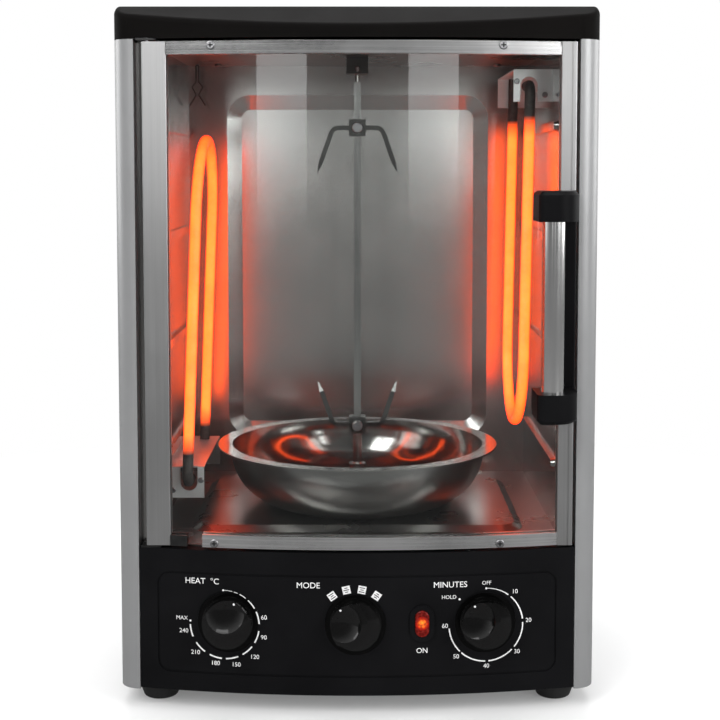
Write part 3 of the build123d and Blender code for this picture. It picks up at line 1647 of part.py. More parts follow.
def thumb_screw(hub_z):
    """Clamp screw in a fork's front, with a slotted round head."""
    tip_y = spit_y - spit_square / 2 - fork_clearance / 2
    head_y = spit_y - fork_hub / 2 - thumb_gap
    with BuildPart(facing_front(0, head_y, hub_z)) as screw:
        Cylinder(thumb_head / 2, thumb_head_length, align=(Align.CENTER, Align.CENTER, Align.MIN))
        fillet(screw.edges().group_by(Axis.Y)[0], 0.8)
        Cylinder(thumb_shank / 2, tip_y - head_y, align=(Align.CENTER, Align.CENTER, Align.MAX))
        with Locations((0, 0, thumb_head_length)):
            Box(thumb_head, 1.2, 3.0, mode=Mode.SUBTRACT)
    return screw


lower_hub_z = lower_fork_bottom + fork_hub / 2
upper_hub_z = upper_fork_top - fork_hub / 2
lower_fork = spit_fork(lower_hub_z, 1)
lower_fork.part.label = "lower_fork"
export_step(lower_fork.part, "parts/lower_fork.step")
upper_fork = spit_fork(upper_hub_z, -1)
upper_fork.part.label = "upper_fork"
export_step(upper_fork.part, "parts/upper_fork.step")
lower_fork_screw = thumb_screw(lower_hub_z)
lower_fork_screw.part.label = "lower_fork_screw"
export_step(lower_fork_screw.part, "parts/lower_fork_screw.step")
upper_fork_screw = thumb_screw(upper_hub_z)
upper_fork_screw.part.label = "upper_fork_screw"
export_step(upper_fork_screw.part, "parts/upper_fork_screw.step")

# Drip bowl with a chimney round the drive
bowl_top = plateau_top + bowl_height
bowl_neck = bowl_rim_radius - bowl_rim_width
bowl_bulge = bowl_base_radius + 0.82 * (bowl_neck - bowl_base_radius)
bowl_bulge_z = plateau_top + 0.4 * bowl_height
with BuildPart() as drip_bowl:
    with BuildSketch(Plane.XZ.offset(-spit_y)):
        with BuildLine():
            Polyline(
                (chimney_top_radius, plateau_top + chimney_height),
                (chimney_radius, plateau_top),
                (bowl_base_radius, plateau_top),
            )
            ThreePointArc(
                (bowl_base_radius, plateau_top),
                (bowl_bulge, bowl_bulge_z),
                (bowl_neck, bowl_top - bowl_wall),
            )
            Polyline(
                (bowl_neck, bowl_top - bowl_wall),
                (bowl_rim_radius, bowl_top - bowl_wall),
                (bowl_rim_radius, bowl_top),
                (bowl_neck - bowl_wall, bowl_top),
            )
            ThreePointArc(
                (bowl_neck - bowl_wall, bowl_top),
                (bowl_bulge - 0.75 * bowl_wall, bowl_bulge_z + 0.75 * bowl_wall),
                (bowl_base_radius, plateau_top + bowl_wall),
            )
            Polyline(
                (bowl_base_radius, plateau_top + bowl_wall),
                (chimney_radius + bowl_wall, plateau_top + bowl_wall),
                (chimney_top_radius + bowl_wall, plateau_top + chimney_height),
                (chimney_top_radius, plateau_top + chimney_height),
            )
        make_face()
    revolve(axis=Axis((0, spit_y, 0), (0, 0, 1)))
drip_bowl.part.label = "drip_bowl"
export_step(drip_bowl.part, "parts/drip_bowl.step")
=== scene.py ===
import math

import bmesh
import bpy
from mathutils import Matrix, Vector


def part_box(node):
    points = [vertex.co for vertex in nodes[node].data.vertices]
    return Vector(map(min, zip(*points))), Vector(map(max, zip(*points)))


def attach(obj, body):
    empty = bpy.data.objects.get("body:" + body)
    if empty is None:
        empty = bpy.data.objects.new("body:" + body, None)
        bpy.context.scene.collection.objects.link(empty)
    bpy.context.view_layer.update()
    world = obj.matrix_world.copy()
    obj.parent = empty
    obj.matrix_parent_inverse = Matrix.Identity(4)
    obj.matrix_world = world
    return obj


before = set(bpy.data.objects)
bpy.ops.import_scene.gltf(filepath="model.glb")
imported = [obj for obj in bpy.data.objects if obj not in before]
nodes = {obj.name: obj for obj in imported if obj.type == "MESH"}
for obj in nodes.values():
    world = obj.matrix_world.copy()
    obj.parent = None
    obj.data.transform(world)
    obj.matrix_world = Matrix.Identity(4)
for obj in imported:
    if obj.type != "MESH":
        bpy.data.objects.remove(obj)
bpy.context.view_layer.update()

scene = bpy.context.scene
scene.view_settings.view_transform = "Standard"

# Sizes in metres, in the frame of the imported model
MM = 0.001
BOW_RADIUS = 0.7151
PRINT_LIFT = 0.00015
SPIT_Y = sum(corner.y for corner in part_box("spit_rod")) / 2
KNOBS = ("temperature_knob", "function_knob", "timer_knob")

# Signs of a rectangle's corners, anticlockwise
CORNERS = ((-1, -1), (1, -1), (1, 1), (-1, 1))

# Camera in front of the door's upper half, looking slightly down
CAMERA_PLACE = (0.0021, -1.1032, 0.3875)
CAMERA_TILT = 4.373
CAMERA_LENS = 70.9
CAMERA_SHIFT = -0.12
SENSOR_WIDTH = 36.0
NEAR_CLIP = 0.01

camera_data = bpy.data.cameras.new("camera")
camera_data.sensor_width = SENSOR_WIDTH
camera_data.lens = CAMERA_LENS
camera_data.shift_y = CAMERA_SHIFT
camera_data.clip_start = NEAR_CLIP
camera = bpy.data.objects.new("camera", camera_data)
camera.location = CAMERA_PLACE
camera.rotation_euler = (math.radians(90.0 - CAMERA_TILT), 0.0, 0.0)
scene.collection.objects.link(camera)
scene.camera = camera


# Node helpers
class Nodes:
    """A node tree, with short ways to add and join its nodes."""

    def __init__(self, tree):
        self.tree = tree

    def add(self, kind):
        return self.tree.nodes.new(kind)

    def link(self, source, target):
        self.tree.links.new(source, target)

    def math(self, operation, first, second):
        step = self.add("ShaderNodeMath")
        step.operation = operation
        for socket, value in zip(step.inputs, (first, second)):
            if isinstance(value, float):
                socket.default_value = value
            else:
                self.link(value, socket)
        return step.outputs["Value"]

    def weighted(self, first, first_share, second, second_share):
        """Sum of two values, each times its share."""
        first_part = self.math("MULTIPLY", first, first_share)
        second_part = self.math("MULTIPLY", second, second_share)
        return self.math("ADD", first_part, second_part)

    def spread(self, source, low_out, high_out, low=0.3, high=0.7, smooth=False):
        """Map a value from one range to another."""
        step = self.add("ShaderNodeMapRange")
        if smooth:
            step.interpolation_type = "SMOOTHSTEP"
        step.inputs["From Min"].default_value = low
        step.inputs["From Max"].default_value = high
        step.inputs["To Min"].default_value = low_out
        step.inputs["To Max"].default_value = high_out
        self.link(source, step.inputs["Value"])
        return step.outputs["Result"]

    def axis(self, vector, name):
        """One axis of a vector."""
        split = self.add("ShaderNodeSeparateXYZ")
        self.link(vector, split.inputs["Vector"])
        return split.outputs[name]

    def mix(self, share, first, second):
        """Blend of two shaders, the second by its share."""
        blend = self.add("ShaderNodeMixShader")
        self.link(share, blend.inputs["Fac"])
        self.link(first, blend.inputs[1])
        self.link(second, blend.inputs[2])
        return blend.outputs["Shader"]


class Tree(Nodes):
    """A material's node tree with its Principled shader."""

    def __init__(self, name):
        self.material = bpy.data.materials.new(name)
        self.material.use_nodes = True
        super().__init__(self.material.node_tree)
        self.shader = self.tree.nodes["Principled BSDF"]
        self.surface = self.tree.nodes["Material Output"].inputs["Surface"]
        self.place = self.add("ShaderNodeTexCoord").outputs["Object"]

    def set(self, **values):
        """Set constants on the shader's own sockets."""
        for name, value in values.items():
            self.shader.inputs[name.replace("_", " ")].default_value = value

    def stretched(self, x, y, z):
        """Object coordinates, scaled along each axis."""
        mapping = self.add("ShaderNodeMapping")
        mapping.inputs["Scale"].default_value = (x, y, z)
        self.link(self.place, mapping.inputs["Vector"])
        return mapping.outputs["Vector"]

    def noise(self, scale, detail=3.0, vector=None, roughness=0.55):
        texture = self.add("ShaderNodeTexNoise")
        texture.inputs["Scale"].default_value = scale
        texture.inputs["Detail"].default_value = detail
        texture.inputs["Roughness"].default_value = roughness
        self.link(vector or self.place, texture.inputs["Vector"])
        return texture.outputs["Fac"]

    def ramp(self, source, low_color, high_color, low=0.3, high=0.7):
        """Blend from one colour to the other as a value rises."""
        ramp = self.add("ShaderNodeValToRGB")
        first, last = ramp.color_ramp.elements
        first.position = low
        first.color = (*low_color, 1.0)
        last.position = high
        last.color = (*high_color, 1.0)
        self.link(source, ramp.inputs["Fac"])
        return ramp.outputs["Color"]

    def color(self, source):
        self.link(source, self.shader.inputs["Base Color"])

    def roughness(self, source):
        self.link(source, self.shader.inputs["Roughness"])

    def bump(self, height, strength, distance):
        bump = self.add("ShaderNodeBump")
        bump.inputs["Strength"].default_value = strength
        bump.inputs["Distance"].default_value = distance
        self.link(height, bump.inputs["Height"])
        self.link(bump.outputs["Normal"], self.shader.inputs["Normal"])


def grey(level):
    """Neutral colour."""
    return (level, level, level)


def paint(name, low_color, high_color, grain, rough, metallic=0.0, bump=0.1, coat=0.0, shine=0.5):
    """Painted or moulded surface: cloudy colour, fine grain and uneven gloss."""
    tree = Tree(name)
    cloud = tree.noise(scale=18.0, detail=5.0)
    fine = tree.noise(scale=grain, detail=2.0)
    tree.color(tree.ramp(cloud, low_color, high_color))
    tree.roughness(tree.spread(cloud, *rough))
    tree.bump(fine, strength=bump, distance=0.0002)
    tree.set(Metallic=metallic, Coat_Weight=coat, Coat_Roughness=0.12, Specular_IOR_Level=shine)
    return tree.material


def brushed(name, low_color, high_color, stretch, rough, bump=0.12, aniso=0.35, metallic=1.0):
    """Brushed metal: fine lines along the axis that is stretched least, with faint stains."""
    tree = Tree(name)
    lines = tree.noise(scale=1.0, detail=4.0, vector=tree.stretched(*stretch), roughness=0.7)
    cloud = tree.noise(scale=14.0, detail=4.0)
    both = tree.weighted(lines, 0.55, cloud, 0.45)
    tree.color(tree.ramp(both, low_color, high_color))
    tree.roughness(tree.spread(both, *rough))
    tree.bump(lines, strength=bump, distance=0.0001)
    tree.set(Metallic=metallic, Anisotropic=aniso)
    return tree.material


def satin(name, low_color, high_color, rough):
    """Satin sheet steel: a smooth face with faint broad stains and smudges."""
    tree = Tree(name)
    stain = tree.noise(scale=9.0)
    smudge = tree.noise(scale=22.0)
    tree.color(tree.ramp(stain, low_color, high_color))
    tree.roughness(tree.spread(smudge, *rough))
    tree.set(Metallic=1.0)
    return tree.material


def turned(name, low_color, high_color, pitch, rough, bump=0.1, outer_rough=None):
    """Spun metal: fine rings round the spit's axis, duller outside where outer_rough is given."""
    tree = Tree(name)
    across = tree.axis(tree.place, "X")
    along = tree.math("SUBTRACT", tree.axis(tree.place, "Y"), SPIT_Y)
    square = tree.weighted(across, across, along, along)
    radius = tree.math("SQRT", square, 0.0)
    rings = tree.add("ShaderNodeTexNoise")
    rings.noise_dimensions = "1D"
    rings.inputs["Scale"].default_value = pitch
    rings.inputs["Detail"].default_value = 4.0
    tree.link(radius, rings.inputs["W"])
    cloud = tree.noise(scale=20.0, detail=4.0)
    both = tree.weighted(rings.outputs["Fac"], 0.6, cloud, 0.4)
    tree.color(tree.ramp(both, low_color, high_color))
    gloss = tree.spread(both, *rough)
    if outer_rough:
        normal = tree.add("ShaderNodeNewGeometry").outputs["Normal"]
        outward = tree.weighted(tree.axis(normal, "X"), across, tree.axis(normal, "Y"), along)
        outside = tree.spread(outward, 0.0, 1.0, low=0.0, high=0.01)
        dull = tree.spread(both, *outer_rough)
        rise = tree.math("MULTIPLY", outside, tree.math("SUBTRACT", dull, gloss))
        gloss = tree.math("ADD", gloss, rise)
    tree.roughness(gloss)
    if bump:
        tree.bump(rings.outputs["Fac"], strength=bump, distance=0.0001)
    tree.set(Metallic=1.0)
    return tree.material


def clear_glass():
    """Toughened glass: it passes light, mirrors at a slant and has a faint film."""
    tree = Tree("door_glass")
    film = tree.noise(scale=9.0, detail=4.0)
    tree.color(tree.ramp(film, (0.92, 0.95, 0.95), grey(1.0)))
    tree.roughness(tree.spread(film, 0.01, 0.035))
    tree.set(Metallic=1.0)
    clear = tree.add("ShaderNodeBsdfTransparent")
    clear.inputs["Color"].default_value = (0.965, 0.98, 0.975, 1.0)
    fresnel = tree.add("ShaderNodeFresnel")
    fresnel.inputs["IOR"].default_value = 1.48
    back = tree.add("ShaderNodeNewGeometry").outputs["Backfacing"]
    mirrored = tree.math("MULTIPLY", fresnel.outputs["Fac"], tree.math("SUBTRACT", 1.0, back))
    glass = tree.mix(mirrored, clear.outputs["BSDF"], tree.shader.outputs["BSDF"])
    tree.link(glass, tree.surface)
    return tree.material


def glowing_tube(name, cold_end, hot_end):
    """Heating tube: glows from the height hot_end on, past its cold terminals, a little unevenly."""
    tree = Tree(name)
    heat = tree.spread(tree.axis(tree.place, "Z"), 0.0, 1.0, low=cold_end, high=hot_end)
    uneven = tree.spread(tree.noise(scale=60.0), 0.85, 1.1)
    tree.color(tree.ramp(tree.noise(scale=300.0), (0.03, 0.027, 0.025), (0.07, 0.06, 0.055)))
    tree.roughness(tree.spread(tree.noise(scale=200.0), 0.45, 0.7))
    facing = tree.add("ShaderNodeLayerWeight")
    facing.inputs["Blend"].default_value = 0.5
    core_color = (1.0, 0.09, 0.0096)
    edge_color = (1.0, 0.027, 0.0018)
    glow = tree.ramp(facing.outputs["Facing"], core_color, edge_color, low=0.25, high=0.9)
    strength = tree.math("MULTIPLY", tree.math("MULTIPLY", heat, uneven), 5.0)
    tree.link(glow, tree.shader.inputs["Emission Color"])
    tree.link(strength, tree.shader.inputs["Emission Strength"])
    return tree.material


def glowing_lens(center):
    """Red lens with a lamp behind its middle and moulded cells."""
    tree = Tree("lamp_red")
    voronoi = tree.add("ShaderNodeTexVoronoi")
    voronoi.inputs["Scale"].default_value = 420.0
    tree.link(tree.place, voronoi.inputs["Vector"])
    cells = voronoi.outputs["Distance"]
    away = tree.add("ShaderNodeVectorMath")
    away.operation = "DISTANCE"
    tree.link(tree.place, away.inputs[0])
    away.inputs[1].default_value = center
    near = tree.spread(away.outputs["Value"], 1.0, 0.01, low=0.0008, high=0.0052)
    spots = tree.spread(cells, 1.3, 0.25, low=0.1, high=0.7)
    strength = tree.math("MULTIPLY", tree.math("MULTIPLY", near, spots), 1.7)
    tree.color(tree.ramp(cells, (0.07, 0.003, 0.002), (0.16, 0.007, 0.004)))
    tree.roughness(tree.spread(cells, 0.12, 0.3))
    glow = tree.ramp(near, (1.0, 0.02, 0.004), (1.0, 0.20, 0.02))
    tree.link(glow, tree.shader.inputs["Emission Color"])
    tree.link(strength, tree.shader.inputs["Emission Strength"])
    tree.bump(cells, strength=0.3, distance=0.0004)
    tree.set(Coat_Weight=0.1, Coat_Roughness=0.08, Specular_IOR_Level=0.15)
    return tree.material


def print_ink(name, low_color, high_color):
    """Screen-printed ink, slightly uneven."""
    tree = Tree(name)
    patch = tree.noise(scale=900.0)
    tree.color(tree.ramp(patch, low_color, high_color))
    tree.roughness(tree.spread(patch, 0.45, 0.6))
    tree.bump(patch, strength=0.08, distance=0.0001)
    return tree.material


# Materials of the cabinet
silver_paint = paint(
    "silver_paint", (0.275, 0.277, 0.28), (0.295, 0.297, 0.30),
    grain=1400.0, rough=(0.35, 0.39), metallic=0.45, bump=0.10, coat=0.1,
)
grey_sheet = brushed(
    "grey_sheet", (0.36, 0.37, 0.37), (0.46, 0.47, 0.47),
    stretch=(60.0, 60.0, 60.0), rough=(0.38, 0.5), bump=0.06, aniso=0.0,
)
black_plastic = paint(
    "black_plastic", (0.004, 0.004, 0.0045), (0.006, 0.006, 0.0067),
    grain=1100.0, rough=(0.42, 0.50), bump=0.14, shine=0.045,
)
cover_plastic = paint(
    "cover_plastic", (0.0035, 0.0032, 0.003), (0.005, 0.0045, 0.0042),
    grain=1100.0, rough=(0.50, 0.60), bump=0.14, shine=0.02,
)
handle_plastic = paint(
    "handle_plastic", (0.003, 0.003, 0.0035), (0.005, 0.005, 0.0055),
    grain=1500.0, rough=(0.34, 0.44), bump=0.12, shine=0.05,
)
knob_plastic = paint(
    "knob_plastic", grey(0.004), grey(0.007),
    grain=700.0, rough=(0.10, 0.14), bump=0.01, shine=0.42,
)
switch_plastic = paint(
    "switch_plastic", (0.55, 0.53, 0.48), (0.64, 0.62, 0.57),
    grain=900.0, rough=(0.4, 0.5), bump=0.08,
)
foot_rubber = paint("foot_rubber", grey(0.010), grey(0.018), grain=500.0, rough=(0.62, 0.8), bump=0.3)

# Materials of the cavity
# The liner steel comes in lit and shaded copies: the side walls' darker steel is painted shade, and the back
# wall's steel, about twice as light, is painted light
side_wall_shaded_steel = satin("side_wall_shaded_steel", (0.29, 0.283, 0.276), (0.32, 0.313, 0.306), rough=(0.12, 0.15))
back_wall_lit_steel = satin("back_wall_lit_steel", (0.56, 0.55, 0.54), (0.60, 0.59, 0.58), rough=(0.22, 0.26))
deck_steel = satin("deck_steel", (0.27, 0.262, 0.256), (0.31, 0.302, 0.296), rough=(0.26, 0.32))
bowl_steel = turned(
    "bowl_steel", (0.34, 0.33, 0.32), (0.40, 0.39, 0.38),
    pitch=300.0, rough=(0.12, 0.16), bump=0.0, outer_rough=(0.28, 0.36),
)
spit_steel = brushed(
    "spit_steel", (0.44, 0.43, 0.42), (0.56, 0.55, 0.54),
    stretch=(700.0, 700.0, 20.0), rough=(0.16, 0.24), bump=0.04,
)
fork_steel = brushed(
    "fork_steel", (0.16, 0.155, 0.15), (0.25, 0.245, 0.24),
    stretch=(700.0, 700.0, 20.0), rough=(0.12, 0.2), bump=0.04,
)
zinc_plate = brushed(
    "zinc_plate", grey(0.66), grey(0.82),
    stretch=(90.0, 90.0, 90.0), rough=(0.26, 0.38), bump=0.05, aniso=0.0, metallic=0.5,
)
bracket_steel = brushed(
    "bracket_steel", (0.07, 0.068, 0.066), (0.12, 0.117, 0.115),
    stretch=(90.0, 90.0, 90.0), rough=(0.3, 0.45), bump=0.1, aniso=0.0,
)
motor_case = brushed("motor_case", grey(0.40), grey(0.50), stretch=(300.0, 300.0, 20.0), rough=(0.35, 0.45))
bush_bronze = turned("bush_bronze", (0.42, 0.26, 0.11), (0.55, 0.35, 0.16), pitch=1500.0, rough=(0.25, 0.4))

# Materials of the door, and of the fasteners
stile_metal = brushed(
    "door_aluminium", grey(0.42), grey(0.52),
    stretch=(900.0, 900.0, 6.0), rough=(0.34, 0.44), bump=0.06,
)
rail_metal = brushed("rail_aluminium", grey(0.42), grey(0.95), stretch=(5.0, 5.0, 1100.0), rough=(0.22, 0.34))
handle_steel = brushed(
    "handle_steel", (0.84, 0.84, 0.835), (0.93, 0.93, 0.925),
    stretch=(1200.0, 1200.0, 30.0), rough=(0.12, 0.18), bump=0.05,
)
clip_steel = brushed(
    "clip_steel", grey(0.035), grey(0.07),
    stretch=(200.0, 200.0, 200.0), rough=(0.3, 0.45), bump=0.1, aniso=0.0,
)
screw_steel = brushed(
    "screw_steel", (0.30, 0.30, 0.31), (0.44, 0.44, 0.45),
    stretch=(500.0, 500.0, 500.0), rough=(0.26, 0.4), bump=0.1, aniso=0.0,
)
door_glass = clear_glass()

# Glowing materials and inks
LAMP_RISE = 0.0005
lens_low, lens_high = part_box("lamp_lens")
lamp_x = (lens_low.x + lens_high.x) / 2
lamp_z = (lens_low.z + lens_high.z) / 2 + LAMP_RISE
heater_left_glow = glowing_tube("heater_glow_left", cold_end=0.169, hot_end=0.185)
heater_right_glow = glowing_tube("heater_glow_right", cold_end=0.424, hot_end=0.408)
lamp_red = glowing_lens((lamp_x, lens_low.y, lamp_z))
white_ink = print_ink("white_ink", grey(0.62), grey(0.82))
# Black ink for the mode marks; the same material is the painted shade in the door screws' cross recesses
black_ink_and_painted_shade = print_ink("black_ink_and_painted_shade", grey(0.010), grey(0.02))
gloss_ink = paint(
    "gloss_ink", grey(0.0012), grey(0.002),
    grain=900.0, rough=(0.14, 0.2), bump=0.02, shine=0.12,
)

# Which CAD nodes wear which material; the rest are screws, pins and shafts in screw steel
finishes = {
    silver_paint: ["side_panel_left", "side_panel_right"],
    grey_sheet: ["rear_panel", "base_plate", "switch_plate"],
    black_plastic: ["control_panel", "lamp_housing", "cord_gland"],
    cover_plastic: ["top_cover"],
    handle_plastic: ["handle_back_plate", "handle_cap_bottom", "handle_cap_top"],
    knob_plastic: KNOBS,
    switch_plastic: ["thermostat", "function_switch", "timer_unit", "terminal_block", "magnet_catch"],
    foot_rubber: ["feet"],
    back_wall_lit_steel: ["back_wall"],
    side_wall_shaded_steel: ["side_wall_left", "side_wall_right"],
    deck_steel: ["floor_pan", "ceiling_plate"],
    bowl_steel: ["drip_bowl"],
    spit_steel: ["spit_rod", "drive_shaft"],
    fork_steel: ["upper_fork", "lower_fork"],
    zinc_plate: ["heater_bracket_left", "heater_bracket_right"],
    bracket_steel: ["spit_bracket", "motor_bracket", "sensor_clip"],
    heater_left_glow: ["heater_left"],
    heater_right_glow: ["heater_right"],
    stile_metal: ["door_stile_left", "door_stile_right", "strike_plate"],
    rail_metal: ["door_rail_top", "door_rail_bottom"],
    clip_steel: ["glass_clip", "hinge_plates"],
    door_glass: ["door_glass"],
    handle_steel: ["handle_tube"],
    motor_case: ["drive_motor"],
    bush_bronze: ["floor_bush"],
    lamp_red: ["lamp_lens"],
}
worn = {name: finish for finish, names in finishes.items() for name in names}
for name, node in nodes.items():
    node.data.materials.clear()
    node.data.materials.append(worn.get(name, screw_steel))


# Helpers for the pieces made here
def middle(name):
    """Middle of a node's box."""
    low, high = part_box(name)
    return (low + high) / 2


def circle(radius, count):
    """Pairs of coordinates round a circle."""
    steps = [math.radians(360.0 * i / count) for i in range(count)]
    return [(radius * math.cos(step), radius * math.sin(step)) for step in steps]


def skin(mesh, rings):
    """Faces between neighbouring rings of vertices, with both ends closed."""
    for low, high in zip(rings, rings[1:]):
        for i in range(len(low)):
            j = (i + 1) % len(low)
            mesh.faces.new((low[i], low[j], high[j], high[i]))
    mesh.faces.new(rings[-1])
    mesh.faces.new(list(reversed(rings[0])))


def add_object(name, mesh, material):
    """Put a finished mesh in the scene as an object in one material."""
    data = bpy.data.meshes.new(name)
    mesh.to_mesh(data)
    mesh.free()
    data.materials.append(material)
    made = bpy.data.objects.new(name, data)
    scene.collection.objects.link(made)
    return made


# Printed scales on the control panel
panel_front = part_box("control_panel")[0].y
PRINT_DOT_SIDES = 16
ARC_STEP = 3.0
LETTER_STEPS = 4


def face_y(x):
    """Y of the bowed panel's face at x."""
    return panel_front + BOW_RADIUS - math.sqrt(BOW_RADIUS**2 - x**2)


class Print:
    """Flat artwork gathered in millimetres round one point and laid on the bowed panel."""

    def __init__(self, name, x, z):
        self.name = name
        self.x = x
        self.z = z
        self.mesh = bmesh.new()

    def strip(self, points_in, points_out):
        """Ribbon of quads between two rows of points."""
        inner = [self.mesh.verts.new((x, 0.0, z)) for x, z in points_in]
        outer = [self.mesh.verts.new((x, 0.0, z)) for x, z in points_out]
        for i in range(len(inner) - 1):
            self.mesh.faces.new((inner[i], inner[i + 1], outer[i + 1], outer[i]))

    def arc(self, radius, start, end, start_width, end_width):
        """Arc between two angles, clockwise from the top, its width changing along it."""
        count = max(2, int(abs(end - start) / ARC_STEP) + 1)
        rows = ([], [])
        for i in range(count + 1):
            share = i / count
            angle = math.radians(start + (end - start) * share)
            half = (start_width + (end_width - start_width) * share) / 2
            for row, reach in zip(rows, (radius - half, radius + half)):
                row.append((reach * math.sin(angle), reach * math.cos(angle)))
        self.strip(*rows)

    def dot(self, radius, angle, size):
        """Round dot at an angle, clockwise from the top."""
        turn = math.radians(angle)
        middle_x = radius * math.sin(turn)
        middle_z = radius * math.cos(turn)
        ring = []
        for across, up in circle(size, PRINT_DOT_SIDES):
            ring.append(self.mesh.verts.new((middle_x + across, 0.0, middle_z + up)))
        self.mesh.faces.new(ring)

    def bar(self, x, z, width, height, turn=0.0):
        """Rectangle turned clockwise about its middle."""
        cos_turn = math.cos(math.radians(turn))
        sin_turn = math.sin(math.radians(turn))
        corners = []
        for across, up in CORNERS:
            side = across * width / 2
            rise = up * height / 2
            place = (x + side * cos_turn + rise * sin_turn, 0.0, z - side * sin_turn + rise * cos_turn)
            corners.append(self.mesh.verts.new(place))
        self.mesh.faces.new(corners)

    def text(self, words, x, z, size):
        """Plain lettering centred at x, z."""
        curve = bpy.data.curves.new("lettering", "FONT")
        curve.body = words
        curve.size = size
        curve.align_x = "CENTER"
        curve.align_y = "CENTER"
        curve.resolution_u = LETTER_STEPS
        maker = bpy.data.objects.new("lettering", curve)
        letters = bpy.data.meshes.new_from_object(maker)
        start = len(self.mesh.verts)
        self.mesh.from_mesh(letters)
        self.mesh.verts.ensure_lookup_table()
        for vertex in self.mesh.verts[start:]:
            vertex.co = (x + vertex.co.x, 0.0, z + vertex.co.y)
        bpy.data.meshes.remove(letters)
        bpy.data.objects.remove(maker)
        bpy.data.curves.remove(curve)

    def lay(self, material, lift=PRINT_LIFT):
        """Put the artwork on the panel as a piece of its own, facing the user."""
        for vertex in self.mesh.verts:
            x = self.x + vertex.co.x * MM
            vertex.co = (x, face_y(x) - lift, self.z + vertex.co.z * MM)
        self.mesh.normal_update()
        backward = [face for face in self.mesh.faces if face.normal.y > 0]
        bmesh.ops.reverse_faces(self.mesh, faces=backward)
        piece = add_object(self.name, self.mesh, material)
        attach(piece, "cabinet")
        return piece


# Places of the scales against their knobs, in metres
PRINT_DROP = 0.003
HEAT_SHIFT = -0.0024
MODE_SHIFT = -0.0007
TIMER_SHIFT = 0.0005

# Sizes of the artwork in millimetres, its angles clockwise from the top
NUMBER_SIZE = 4.4
LABEL_SIZE = 5.9
MAX_SIZE = 0.9 * NUMBER_SIZE
WORD_SIZE = 0.86 * NUMBER_SIZE
LAMP_WORD_SIZE = 5.2
LAMP_WORD_DROP = 20.3
SMALL_DOT = 0.7
LARGE_DOT = 0.75
RING_MIDDLE = 18.5
RING_WIDTH = 6.0
HEAT_RADIUS = 24.6
HEAT_START = -2.0
HEAT_END = 274.0
HEAT_BARS = (66.0, 99.0, 128.0, 157.0, 185.0, 215.0, 247.0)
HEAT_BAR_SWEEP = 21.0
HEAT_BAR_WIDTH = 1.0
TIMER_RADIUS = 26.2
TIMER_BARS = (42.0, 88.5, 135.0, 181.0, 225.0)
TIMER_BAR_SWEEP = 41.0
HOLD_RADIUS = TIMER_RADIUS + 0.6
HOLD_ANGLE = -45.0
ICON_RADIUS = 27.2
ICON_SIZE = 5.6
ICON_ANGLES = (-35.3, -12.2, 11.0, 34.5)
MARK_GAP = 0.26 * ICON_SIZE
MARK_LONG = 0.72 * ICON_SIZE
MARK_SHORT = 0.4 * ICON_SIZE
MARK_HEIGHT = 0.11 * ICON_SIZE

# Heat scale: a thin arc that thickens in steps, then seven bars
heat_knob = middle("temperature_knob")
heat_print = Print("heat_scale", heat_knob.x + HEAT_SHIFT, heat_knob.z - PRINT_DROP)
heat_print.dot(HEAT_RADIUS, HEAT_START, SMALL_DOT)
heat_print.arc(HEAT_RADIUS, HEAT_START, 13.0, 0.25, 0.4)
heat_print.arc(HEAT_RADIUS, 16.0, 22.6, 0.45, 0.55)
heat_print.arc(HEAT_RADIUS, 26.0, 38.0, 0.65, 0.75)
heat_print.arc(HEAT_RADIUS, 43.0, 60.0, 0.8, 0.9)
for start in HEAT_BARS:
    heat_print.arc(HEAT_RADIUS, start, start + HEAT_BAR_SWEEP, HEAT_BAR_WIDTH, HEAT_BAR_WIDTH)
heat_print.dot(HEAT_RADIUS, HEAT_END, LARGE_DOT)
heat_steps = (
    ("60", 28.0, 5.9),
    ("90", 27.8, -8.4),
    ("120", 21.3, -22.6),
    ("150", 8.1, -28.6),
    ("180", -6.7, -28.2),
    ("210", -21.0, -21.0),
    ("240", -29.3, -5.8),
    ("MAX", -30.6, 3.4),
)
for words, x, z in heat_steps:
    heat_print.text(words, x, z, NUMBER_SIZE if words.isdigit() else MAX_SIZE)
heat_print.text("HEAT  °C", -15.9, 30.5, LABEL_SIZE)
heat_print.lay(white_ink)

# Mode squares, each with three dark marks
mode_knob = middle("function_knob")
mode_print = Print("mode_scale", mode_knob.x + MODE_SHIFT, mode_knob.z - PRINT_DROP)
mode_marks = Print("mode_marks", mode_knob.x + MODE_SHIFT, mode_knob.z - PRINT_DROP)
for i, angle in enumerate(ICON_ANGLES):
    lean = math.radians(angle)
    icon_x = ICON_RADIUS * math.sin(lean)
    icon_z = ICON_RADIUS * math.cos(lean)
    mode_print.bar(icon_x, icon_z, ICON_SIZE, ICON_SIZE, angle)
    for level in range(-1, 2):
        mark_x = icon_x + level * MARK_GAP * math.sin(lean)
        mark_z = icon_z + level * MARK_GAP * math.cos(lean)
        width = MARK_LONG if (level + i) % 2 else MARK_SHORT
        mode_marks.bar(mark_x, mark_z, width, MARK_HEIGHT, angle)
mode_print.text("MODE", -32.5, 29.5, LABEL_SIZE)
mode_print.lay(white_ink)
mode_marks.lay(black_ink_and_painted_shade, 1.6 * PRINT_LIFT)

